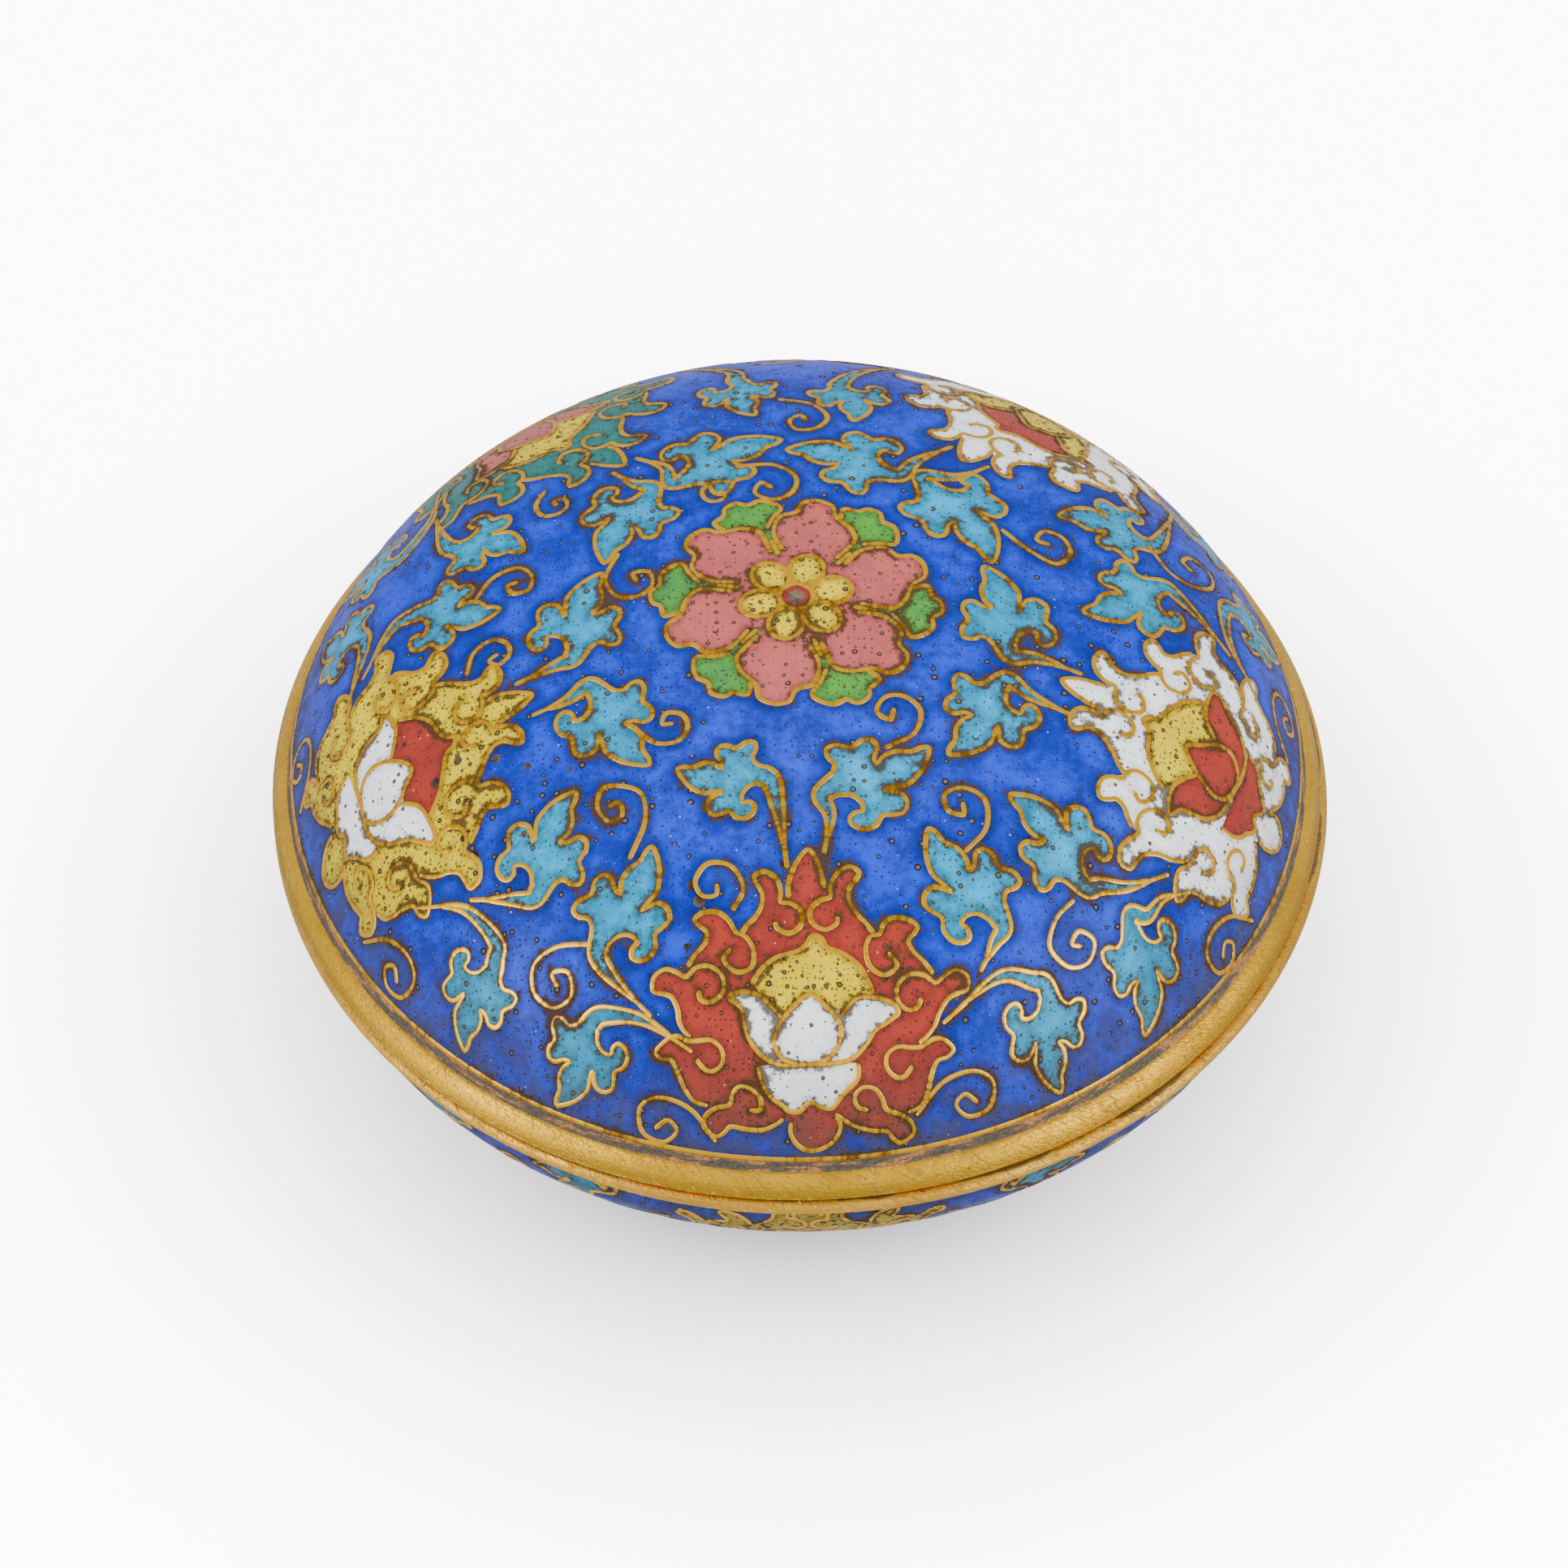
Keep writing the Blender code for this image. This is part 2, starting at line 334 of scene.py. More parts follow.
# Leaves of the five sectors between the flowers: (centre, tip, points of the stem)
CURLS_RIGHT = (True, False, False, True, True, False)
SECTOR_LEAVES = {
    36: [((-5.4, -16.4), (0.1, -16.6), [(-9.3, -17.0), (-11.5, -19.3)]),
         ((6.0, -16.3), (1.1, -17.8), [(9.6, -16.6), (11.6, -19.6)]),
         ((-4.0, -27.5), (-3.9, -21.9), [(-4.3, -31.6), (-6.5, -32.9)]),
         ((4.6, -28.0), (3.2, -22.7), [(5.6, -31.8), (8.0, -32.8), (12.0, -33.3)]),
         ((-3.6, -39.3), (-4.3, -44.6), [(-3.0, -35.5), (-5.0, -34.0), (-11.0, -34.6)]),
         ((7.0, -38.5), (5.3, -44.0), [(8.6, -35.4), (10.5, -34.8), (13.5, -35.2)])],
    -36: [((-5.3, -16.7), (-0.2, -18.3), [(-8.9, -16.6), (-10.6, -19.0)]),
          ((5.8, -16.0), (1.9, -17.5), [(9.8, -15.8), (13.3, -19.4)]),
          ((-3.2, -28.0), (-3.8, -22.8), [(-3.6, -32.0), (-7.0, -33.5)]),
          ((5.0, -28.8), (4.0, -23.5), [(6.0, -33.0), (10.9, -34.1)]),
          ((-3.5, -39.5), (-3.2, -44.4), [(-3.0, -35.6), (-7.0, -34.3), (-11.5, -35.8)]),
          ((7.5, -39.5), (6.8, -44.4), [(8.1, -35.6), (10.3, -34.7), (15.0, -34.6)])],
    108: [((-5.7, -14.8), (-0.3, -14.8), [(-9.5, -15.6), (-11.4, -18.9)]),
          ((6.3, -14.8), (0.0, -15.6), [(9.6, -16.0), (10.6, -19.0)]),
          ((-4.4, -26.3), (-5.7, -21.0), [(-3.8, -30.4), (-8.5, -33.8)]),
          ((3.5, -27.3), (4.6, -22.6), [(3.2, -31.4), (8.0, -35.0)]),
          ((-3.5, -39.5), (-3.6, -44.4), [(-3.0, -35.6), (-7.0, -34.3), (-11.5, -35.8)]),
          ((7.0, -39.5), (6.0, -44.4), [(8.1, -35.6), (10.3, -34.7), (14.0, -34.9)])],
    -108: [((-5.3, -15.2), (0.0, -15.2), [(-8.8, -15.8), (-9.9, -18.0)]),
           ((6.3, -15.3), (1.1, -15.1), [(10.0, -15.2), (12.3, -18.2)]),
           ((-1.7, -26.2), (-0.7, -22.0), [(-2.6, -30.0), (-5.8, -32.1)]),
           ((6.0, -26.5), (5.5, -21.8), [(6.2, -31.0), (11.0, -32.8)]),
           ((-2.5, -37.5), (-2.2, -42.5), [(-2.4, -33.8), (-6.0, -32.8), (-11.0, -34.6)]),
           ((6.0, -37.5), (3.5, -42.0), [(8.0, -33.8), (13.5, -33.8)])],
    180: [((-4.7, -15.3), (0.7, -16.5), [(-9.0, -15.4), (-12.0, -18.0)]),
          ((6.5, -15.3), (1.2, -17.8), [(10.0, -14.8), (12.3, -16.5)]),
          ((-4.3, -24.3), (-4.5, -20.5), [(-4.6, -29.0), (-8.0, -32.5)]),
          ((4.6, -24.8), (3.3, -21.2), [(5.0, -29.4), (9.5, -33.0)]),
          ((-3.5, -38.5), (-3.2, -43.4), [(-3.0, -34.8), (-7.0, -33.6), (-11.5, -35.0)]),
          ((7.0, -38.8), (6.3, -43.8), [(8.0, -35.0), (10.3, -34.2), (14.0, -34.6)])],
}
SPIRAL = [(-16.3, -39.6), (-13.0, -38.5), (-10.3, -39.2), (-9.4, -40.7), (-10.5, -42.4), (-12.5, -42.1),
          (-13.0, -40.7), (-12.0, -40.3), (-11.3, -41.5)]
SMALL_SPIRAL = [(-2.7, -14.8), (0.0, -14.9), (1.5, -13.5), (1.2, -11.9), (0.0, -11.2), (-1.3, -11.9),
                (-0.9, -13.0), (-0.1, -12.4)]
UPPER_SPIRAL = [(-2.6, -24.8), (0.0, -24.0), (1.2, -22.0), (0.3, -20.5), (-1.2, -20.3), (-1.7, -21.5),
                (-0.9, -22.3), (-0.4, -21.5)]
LOWER_SPIRAL = [(3.1, -31.8), (1.0, -32.4), (-0.5, -34.0), (0.3, -36.0), (2.0, -36.4), (3.2, -35.2),
                (2.3, -34.0), (1.3, -34.6), (2.0, -35.1)]


def moved(points, x, y, mirror=False, size=1.0):
    """Points shifted, after a mirroring about the sector's axis and a scaling about their middle."""
    places = np.asarray(points, float)
    if mirror:
        places = places * (-1.0, 1.0)
    middle = places.mean(axis=0)
    return middle + (places - middle) * size + (x, y)


SECTOR_TENDRILS = {
    36: [SMALL_SPIRAL, UPPER_SPIRAL, LOWER_SPIRAL, SPIRAL, moved(SPIRAL, 4.4, 0.2, mirror=True)],
    -36: [moved(SMALL_SPIRAL, -0.6, -1.9, size=0.8),
          [(3.0, -25.2), (2.2, -22.0), (0.5, -20.4), (-2.0, -21.5), (-1.5, -23.0), (0.0, -23.5),
           (0.5, -22.6), (-0.3, -21.9), (-0.8, -22.6)],
          [(4.0, -31.9), (1.5, -33.5), (0.5, -35.5), (1.5, -37.3), (3.5, -37.5), (4.4, -36.0),
           (3.3, -34.6), (2.2, -35.3), (3.1, -36.0)],
          moved(SPIRAL, -0.5, -0.6), moved(SPIRAL, 4.0, 0.0, mirror=True),
          [(11.8, -24.3), (11.5, -22.5), (9.8, -21.6), (8.2, -22.4), (8.2, -24.0), (9.3, -24.6),
           (10.1, -24.0), (9.7, -23.3)]],
    108: [[(3.3, -17.4), (1.0, -18.7), (-0.7, -20.5), (0.3, -22.0), (2.0, -22.0), (2.8, -20.7),
           (1.9, -19.8), (1.3, -20.7)],
          [(1.8, -29.5), (-1.0, -30.5), (-1.9, -32.5), (-1.0, -35.0), (0.8, -35.6), (1.8, -34.0),
           (0.8, -32.5), (0.0, -33.2)],
          SPIRAL, moved(SPIRAL, 4.4, 0.2, mirror=True)],
    -108: [moved(SMALL_SPIRAL, 1.6, 0.4), moved(UPPER_SPIRAL, 2.2, 0.3, mirror=True, size=0.9),
           moved(SMALL_SPIRAL, 9.5, -8.0, mirror=True, size=0.8), moved(SMALL_SPIRAL, -5.5, -8.5, size=0.7),
           SPIRAL, moved(SPIRAL, 4.4, 0.2, mirror=True)],
    180: [moved(SMALL_SPIRAL, 1.7, 0.6, mirror=True, size=1.1), moved(SMALL_SPIRAL, 6.3, 1.5, size=0.6),
          moved(UPPER_SPIRAL, -1.2, 1.2, mirror=True), LOWER_SPIRAL, SPIRAL,
          moved(SPIRAL, 4.4, 0.2, mirror=True)],
}
# Flowers of the lid: (degrees from the front toward the right, colours, shift across and outward, squeeze)
LID_FLOWERS = [
    (0.0, ("red", "yellow", "white", "white", "red"), (0.9, 0.0), 1.0),
    (73.4, ("white", "yellow", "red", "red", "white"), (0.0, 1.1), 1.0),
    (142.5, ("white", "red", "yellow", "yellow", "white"), (0.0, 1.6), 0.9),
    (221.0, ("teal", "yellow", "pink", "pink", "teal"), (0.0, 1.6), 0.92),
    (289.6, ("yellow", "red", "white", "white", "yellow"), (0.0, 1.0), 1.0),
]


# Large pits of the lid: (x, y, radius)
LID_PITS = [(-25.7, -11.6, 0.42), (-22.6, -12.2, 0.45), (-20.1, -13.4, 0.36), (-16.8, -14.2, 0.24),
            (-27.7, -12.9, 0.5), (-30.3, -8.6, 0.25), (-27.7, -17.5, 0.45), (-25.5, -18.1, 0.3),
            (-24.6, -19.6, 0.42), (-20.5, -18.9, 0.32), (-31.4, -11.4, 0.22), (-7.7, -24.5, 0.5),
            (-7.2, -25.7, 0.55), (-1.0, -23.1, 0.3), (-8.2, -29.1, 0.32)]


def lid_pattern(rim_arc):
    pattern = Pattern()
    pattern.pits = LID_PITS
    for degrees, leaves in SECTOR_LEAVES.items():
        for (centre, tip, stem), curl_right in zip(leaves, CURLS_RIGHT):
            leaf(pattern, degrees, centre, tip, stem, curl_right)
    for degrees, tendrils in SECTOR_TENDRILS.items():
        for points in tendrils:
            tendril(pattern, degrees, points)
    for seed, (degrees, colours, shift, squeeze) in enumerate(LID_FLOWERS):
        lotus(pattern, degrees, colours, seed, shift, squeeze=squeeze)
    rosette(pattern)
    pattern.border(rim_arc)
    return pattern


# Flowers and leaves of the bowl, on a flat map whose middle is the middle of the underside
BOWL_FLOWER_SIZE = 0.74
BOWL_STRETCH = 1.22        # the bowl's flowers are wider for their height than the lid's
BOWL_FLOWER_INSET = 0.8    # from the mouth down to the tip of a flower
BOWL_ARCHING = 0.022       # how fast the pattern bends round with the mouth, beside a flower's axis
BOWL_ARCHING_LIMIT = 0.003
BOWL_FLOWERS = [
    (1.0, ("yellow", "red", "white", "white", "yellow")),
    (73.0, ("white", "red", "yellow", "yellow", "white")),
    (145.0, ("teal", "yellow", "pink", "pink", "teal")),
    (217.0, ("red", "yellow", "white", "white", "red")),
    (289.0, ("pink", "yellow", "white", "white", "pink")),
]


def bowl_pattern(rim_arc):
    """The same scroll, plainer. The flowers stand upright, with their tips at the mouth."""
    pattern = Pattern()

    def fit(points):
        """From the lid's flat map to the bowl's: toward the crown there is toward the mouth here."""
        x, y = np.asarray(points, float).T
        bent = BOWL_ARCHING * x ** 2 / (1.0 + BOWL_ARCHING_LIMIT * x ** 2)
        from_tip = (y - ARCH[ARCH_TIP][1]) * BOWL_FLOWER_SIZE
        placed = np.stack([x * BOWL_FLOWER_SIZE * BOWL_STRETCH,
                           -BOWL_FLOWER_INSET - rim_arc - from_tip - bent], axis=1)
        reach = np.hypot(placed[:, 0], placed[:, 1])
        return placed * np.minimum(1.0, (rim_arc - BORDER_INSET) / reach)[:, None]

    for sector, (degrees, _) in enumerate(BOWL_FLOWERS):
        middle = degrees + 36.0
        wave = 0.5 * math.sin(2.3 * sector)
        leaves = [((-8.6 + wave, -28.4), (-3.6 + wave, -26.4),
                   [(-11.2, -28.6), (-14.0, -29.6), (-18.0, -31.6)]),
                  ((8.8, -28.2 + wave), (3.8, -26.4 + wave),
                   [(11.4, -28.6), (14.2, -29.8), (18.2, -31.8)]),
                  ((-6.4, -40.0), (-6.0, -45.0), [(-6.2, -36.6), (-9.0, -35.4), (-16.0, -36.6)]),
                  ((6.8, -40.0), (6.4, -45.0), [(6.6, -36.6), (9.5, -35.6), (16.0, -36.6)])]
        for (centre, tip, stem), curl_right in zip(leaves, (False, True, True, False)):
            leaf(pattern, middle, centre, tip, stem, curl_right, flip=fit)
        for points in (moved(SPIRAL, 13.0, 0.2), moved(SPIRAL, -12.2, 1.0, mirror=True)):
            tendril(pattern, middle, fit(points))
        tendril(pattern, middle, fit(moved(UPPER_SPIRAL, 1.2, -7.5)))
        for side in (-1, 1):
            tendril(pattern, middle, fit(moved(SMALL_SPIRAL, 14.0 * side, -9.6, mirror=side > 0, size=0.8)))
    for seed, (degrees, colours) in enumerate(BOWL_FLOWERS):
        lotus(pattern, degrees, colours, seed + 7, flip=fit)
    pattern.border(rim_arc)
    return pattern


# Turned surfaces that carry a pattern

class Surface:
    """A turned surface and its flat map: distance from the middle is arc length, direction is the same."""

    def __init__(self, profile, axis_x, facing):
        self.radius, self.height = np.asarray(profile, float).T
        steps = np.hypot(np.diff(self.radius), np.diff(self.height))
        self.arc = np.concatenate([[0.0], np.cumsum(steps)])
        self.length = self.arc[-1]
        self.slope_r = np.gradient(self.radius, self.arc)
        self.slope_z = np.gradient(self.height, self.arc)
        self.axis_x = axis_x
        self.facing = facing       # 1 where the outside looks up at the middle, -1 where it looks down

    def lift(self, points, above=0.0):
        """Flat points in millimetres put on the surface, in metres, and the outward directions there."""
        x, y = np.asarray(points, float).T
        arc = np.hypot(x, y)
        round_x = np.where(arc > 1e-9, x / np.maximum(arc, 1e-9), 0.0)
        round_y = np.where(arc > 1e-9, y / np.maximum(arc, 1e-9), -1.0)
        radius = np.interp(arc, self.arc, self.radius)
        height = np.interp(arc, self.arc, self.height)
        out_r = -np.interp(arc, self.arc, self.slope_z) * self.facing
        out_z = np.interp(arc, self.arc, self.slope_r) * self.facing
        size = np.hypot(out_r, out_z)
        out_r, out_z = out_r / size, out_z / size
        normals = np.stack([out_r * round_x, out_r * round_y, out_z], axis=1)
        radius = radius + out_r * above
        height = height + out_z * above
        places = np.stack([self.axis_x + radius * round_x, radius * round_y, SEAM_HEIGHT + height], axis=1)
        return places * MM, normals


def dome_profile(steps=400):
    """From the crown out to the edge of the lid's enamel."""
    radius = LID_EDGE_RADIUS * np.sin(np.linspace(0.0, 0.5 * math.pi, steps))
    fall = sum(weight * (radius / LID_EDGE_RADIUS) ** power for power, weight in DOME_TERMS)
    return np.stack([radius, LID_EDGE_HEIGHT + DOME_HEIGHT * (1.0 - fall)], axis=1)


def bowl_profile(steps=400):
    """From the middle of the bowl's underside out to its mouth."""
    angle = np.linspace(0.5 * math.pi, 0.0, steps)
    radius = BOWL_EDGE_RADIUS * np.clip(np.cos(angle), 0.0, 1.0) ** (2.0 / BOWL_POWER)
    radius[0] = 0.0
    return np.stack([radius, BOWL_TOP - BOWL_DEPTH * np.sin(angle)], axis=1)


def bowl_height(radius):
    return BOWL_TOP - BOWL_DEPTH * math.sqrt(1.0 - (radius / BOWL_EDGE_RADIUS) ** BOWL_POWER)


def inset(profile, wall):
    """The profile moved inward by the wall."""
    profile = np.asarray(profile, float)
    along = np.gradient(profile, axis=0)
    along /= np.linalg.norm(along, axis=1)[:, None]
    out = np.stack([-along[:, 1], along[:, 0]], axis=1)
    if out[0, 1] * (profile[0, 1] - profile[-1, 1]) < 0:
        out = -out
    moved_profile = profile - out * wall
    moved_profile[:, 0] = np.maximum(moved_profile[:, 0], 0.0)
    moved_profile[0, 0] = 0.0
    return [tuple(point) for point in moved_profile]


# Wires and enamel (mm)
WIRE_WIDTH = 0.38
WIRE_PROUD = 0.032         # height of a wire above the enamel
WIRE_SUNK = 0.06           # depth of its sides below the enamel
WIRE_END = 0.55            # width of a wire's end for its middle
WIDTH_CHANGE = 0.12        # how much a wire's width changes along it, as a share
WIDTH_WAVES = 0.21         # how fast, in radians from one sample to the next
CLOSED_GAP = 0.01          # a wire whose ends are closer than this is closed
GRID_STEP = 0.72           # between the points of the enamel away from the wires
GRID_ROW = 0.866 * GRID_STEP
GRID_JITTER = 0.08
LOOP_STEP = 0.45           # between the points of a cell's outline, at most
EDGE_POINTS = 900          # round the edge of a pattern
EDGE_CLEAR = 0.09          # no free points closer to the edge than this
BESIDE_WIRE = (-0.62, -0.3, 0.0, 0.3, 0.62)    # distances from a wire's middle where the enamel has points
BESIDE_STEP = 2                                # every second sample of a wire gets such points
NEAR_RIM = (0.1, 0.2, 0.31, 0.42, 0.6, 0.85)   # distances of rows of points from a pattern's edge
PIT_RINGS = (0.0, 0.3, 0.6, 0.85, 1.0, 1.15)   # shares of a large pit's radius that have points
PIT_FLOOR = 0.8            # share of a large pit's radius that is coloured as one
PIT_DEPTH = 0.9            # depth of a large pit for its radius


def line_normals(line):
    tangent = np.gradient(line, axis=0)
    tangent /= np.linalg.norm(tangent, axis=1)[:, None] + 1e-9
    return np.stack([-tangent[:, 1], tangent[:, 0]], axis=1)


def inside(points, outline):
    """Which points have the outline winding round them."""
    winding = np.zeros(len(points), int)
    x, y = points.T
    for (x1, y1), (x2, y2) in zip(outline, np.roll(outline, -1, axis=0)):
        side = (x2 - x1) * (y - y1) - (x - x1) * (y2 - y1)
        winding += ((y1 <= y) & (y2 > y) & (side > 0)).astype(int)
        winding -= ((y1 > y) & (y2 <= y) & (side < 0)).astype(int)
    return winding != 0


def add_piece(name, mesh, material):
    mesh.materials.append(material)
    mesh.polygons.foreach_set("use_smooth", [True] * len(mesh.polygons))
    piece = bpy.data.objects.new(name, mesh)
    bpy.context.scene.collection.objects.link(piece)
    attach(piece, "root")
    return piece


def flat_piece(name, vertices, faces, material, flat):
    """A piece that keeps at each vertex its place on the flat map and one more number."""
    mesh = bpy.data.meshes.new(name)
    mesh.from_pydata(vertices.tolist(), [], faces)
    layer = mesh.attributes.new("flat", "FLOAT_VECTOR", "POINT")
    layer.data.foreach_set("vector", np.column_stack(flat).astype(np.float32).ravel())
    return add_piece(name, mesh, material)


def nearest_wire(points, wires):
    """Distance of each point from the middle of the nearest wire."""
    samples = np.vstack(wires)
    tree = KDTree(len(samples))
    for index, (x, y) in enumerate(samples):
        tree.insert((x, y, 0.0), index)
    tree.balance()
    return np.array([tree.find((x, y, 0.0))[2] for x, y in points])


def close_points(loop):
    """The loop with points added, so that what is kept at its points is true all along it."""
    made = []
    for start, end in zip(loop, np.roll(loop, -1, axis=0)):
        count = max(1, math.ceil(np.hypot(*(end - start)) / LOOP_STEP))
        made.extend(start + (end - start) * share for share in np.arange(count) / count)
    return np.array(made)


def free_points(pattern, limit, inner_limit):
    """Points between the outlines: beside the wires, near the edge, in the pits and on a grid."""
    groups = []
    for wire in pattern.wires:
        line = wire[::BESIDE_STEP]
        if len(line) < 3:
            line = wire
        side = line_normals(line)
        groups.extend(line + side * distance for distance in BESIDE_WIRE)
    groups.extend(circle(EDGE_POINTS, limit)[::2] * (1.0 - distance / limit) for distance in NEAR_RIM)
    for x, y, radius in pattern.pits:
        groups.extend(np.array((x, y)) + circle(20, share * radius) for share in PIT_RINGS)
    rng = random.Random(7)
    for row in range(int(2 * limit / GRID_ROW) + 2):
        x = np.arange(-limit + 0.5 * GRID_STEP * (row % 2), limit, GRID_STEP)
        jitter = np.array([rng.uniform(-GRID_JITTER, GRID_JITTER) for _ in x])
        groups.append(np.stack([x + jitter, np.full(len(x), row * GRID_ROW - limit)], axis=1))
    free = np.vstack(groups)
    distance = np.hypot(free[:, 0], free[:, 1])
    return free[(distance < limit - EDGE_CLEAR) & (distance > inner_limit)]


def face_colours(pattern, centres, inner_limit):
    """The colour of the last cell, or pit, that each face is in."""
    colours = np.full(len(centres), "blue", dtype=object)
    for colour, outline in pattern.cells:
        low, high = outline.min(axis=0), outline.max(axis=0)
        near = np.where(((centres >= low) & (centres <= high)).all(axis=1))[0]
        colours[near[inside(centres[near], outline)]] = colour
    colours[np.hypot(centres[:, 0], centres[:, 1]) < inner_limit] = "none"
    for x, y, radius in pattern.pits:
        colours[np.hypot(centres[:, 0] - x, centres[:, 1] - y) < PIT_FLOOR * radius] = "pit"
    return colours


def enamel_pieces(prefix, pattern, surface, inner_limit, materials):
    """Every colour of one surface as a piece of its own, cut along the outlines of the cells."""
    limit = surface.length
    edge = circle(EDGE_POINTS, limit)
    loops = [edge] + [close_points(outline) for _, outline in pattern.cells]
    if inner_limit > 0.0:
        loops.append(edge * (inner_limit / limit))
    points, edges = [], []
    for loop in loops:
        start = len(points)
        points.extend(loop)
        edges.extend((start + i, start + (i + 1) % len(loop)) for i in range(len(loop)))
    points.extend(free_points(pattern, limit, inner_limit))
    flat = [Vector((float(x), float(y))) for x, y in points]
    made = delaunay_2d_cdt(flat, edges, [], 0, 1e-4, False)
    places = np.array([tuple(v) for v in made[0]])
    places *= np.minimum(1.0, limit / np.maximum(np.hypot(places[:, 0], places[:, 1]), 1e-9))[:, None]
    faces = np.array([tuple(f) for f in made[2]])
    colours = face_colours(pattern, places[faces].mean(axis=1), inner_limit)
    gaps = nearest_wire(places, pattern.wires)
    sunk = np.zeros(len(places))
    for x, y, radius in pattern.pits:
        share = np.hypot(places[:, 0] - x, places[:, 1] - y) / radius
        sunk = np.maximum(sunk, np.clip(1.0 - share ** 2, 0.0, 1.0) * PIT_DEPTH * radius)
    vertices, normals = surface.lift(places, -sunk)
    pieces = []
    for colour in sorted(set(colours) - {"none"}):
        chosen = faces[colours == colour]
        used, numbers = np.unique(chosen, return_inverse=True)
        numbers = numbers.reshape(chosen.shape)
        if surface.facing < 0:
            numbers = numbers[:, ::-1]
        piece = flat_piece(f"{prefix}_{colour}", vertices[used], numbers.tolist(), materials[colour],
                           (places[used], gaps[used]))
        if colour != "pit" or not sunk[used].any():
            piece.data.normals_split_custom_set_from_vertices(normals[used].tolist())
        pieces.append(piece)
    return pieces


def wire_piece(name, pattern, surface, material):
    """The wires as low rounded ribbons, a little proud of the enamel."""
    right = [(0.66, WIRE_PROUD), (0.96, WIRE_PROUD * 0.5), (1.0, -WIRE_SUNK)]
    left = [(-share, above) for share, above in reversed(right)]
    section = left + [(0.0, WIRE_PROUD * 1.15)] + right
    across = len(section)
    vertices, faces, shares = [], [], []
    rng = random.Random(11)
    for wire in pattern.wires:
        side = line_normals(wire)
        count = len(wire)
        width = 1.0 + WIDTH_CHANGE * np.sin(np.arange(count) * WIDTH_WAVES + rng.uniform(0.0, 6.0))
        closed = np.hypot(*(wire[0] - wire[-1])) < CLOSED_GAP
        if closed:
            side[0] = side[-1] = (side[0] + side[-1]) / np.linalg.norm(side[0] + side[-1])
            width[:] = 1.0
        else:
            width[0] = width[-1] = WIRE_END
        half = (0.5 * WIRE_WIDTH * width)[:, None]
        rows = [surface.lift(wire + side * share * half, above)[0] for share, above in section]
        start = len(vertices) * across
        vertices.extend(np.stack(rows, axis=1))
        shares.append(np.tile([abs(share) for share, _ in section], count))
        for step in range(count - 1):
            for lane in range(across - 1):
                corner = start + step * across + lane
                faces.append((corner, corner + 1, corner + across + 1, corner + across))
        if not closed:
            last = start + (count - 1) * across
            faces.append(tuple(start + lane for lane in range(across)))
            faces.append(tuple(last + lane for lane in reversed(range(across))))
    if surface.facing > 0:
        faces = [tuple(reversed(face)) for face in faces]
    spots = np.repeat(np.vstack(pattern.wires), across, axis=0)
    return flat_piece(name, np.vstack(vertices), faces, material, (spots, np.concatenate(shares)))


TURNED_SEGMENTS = 256
SHARP_ANGLE = math.radians(40)


def turned_piece(name, profile, material, axis_x=0.0, closed=True):
    """A profile of (radius, height above the seam) turned round the upright axis."""
    shape = bmesh.new()
    made, rows = [], len(profile)
    for step in range(TURNED_SEGMENTS):
        angle = 2.0 * math.pi * step / TURNED_SEGMENTS
        for radius, height in profile:
            made.append(shape.verts.new(((axis_x + radius * math.sin(angle)) * MM,
                                         -radius * math.cos(angle) * MM, (SEAM_HEIGHT + height) * MM)))
    for step in range(TURNED_SEGMENTS):
        near = step * rows
        far = (step + 1) % TURNED_SEGMENTS * rows
        for row in range(rows if closed else rows - 1):
            below = (row + 1) % rows
            shape.faces.new([made[i] for i in (near + row, far + row, far + below, near + below)])
    bmesh.ops.remove_doubles(shape, verts=shape.verts, dist=1e-7)
    bmesh.ops.dissolve_degenerate(shape, dist=1e-7, edges=shape.edges)
    bmesh.ops.recalc_face_normals(shape, faces=shape.faces)
    mesh = bpy.data.meshes.new(name)
    shape.to_mesh(mesh)
    shape.free()
    piece = add_piece(name, mesh, material)
    mesh.set_sharp_from_angle(angle=SHARP_ANGLE)
    return piece


# Materials

class Value:
    """A value made by a material's nodes. Formulas can add, multiply and ramp it."""

    def __init__(self, painter, socket):
        self.painter = painter
        self.socket = socket

    def __add__(self, other):
        return self.painter.math("ADD", self, other)

    def __sub__(self, other):
        return self.painter.math("SUBTRACT", self, other)

    def __rsub__(self, other):
        return self.painter.math("SUBTRACT", other, self)

    def __mul__(self, other):
        return self.painter.math("MULTIPLY", self, other)

    def __truediv__(self, other):
        return self.painter.math("DIVIDE", self, other)

    def __pow__(self, other):
        return self.painter.math("POWER", self, other)

    def __lt__(self, other):
        return self.painter.math("LESS_THAN", self, other)

    def __abs__(self):
        return self.painter.math("ABSOLUTE", self)

    def larger(self, other):
        return self.painter.math("MAXIMUM", self, other)

    def ramp(self, low, high, start=0.0, end=1.0, smooth=True):
        """From start where the value is at low to end where it is at high."""
        made = self.painter.node("ShaderNodeMapRange", (self, low, high, start, end),
                                 interpolation_type="SMOOTHSTEP" if smooth else "LINEAR")
        return Value(self.painter, made.outputs[0])


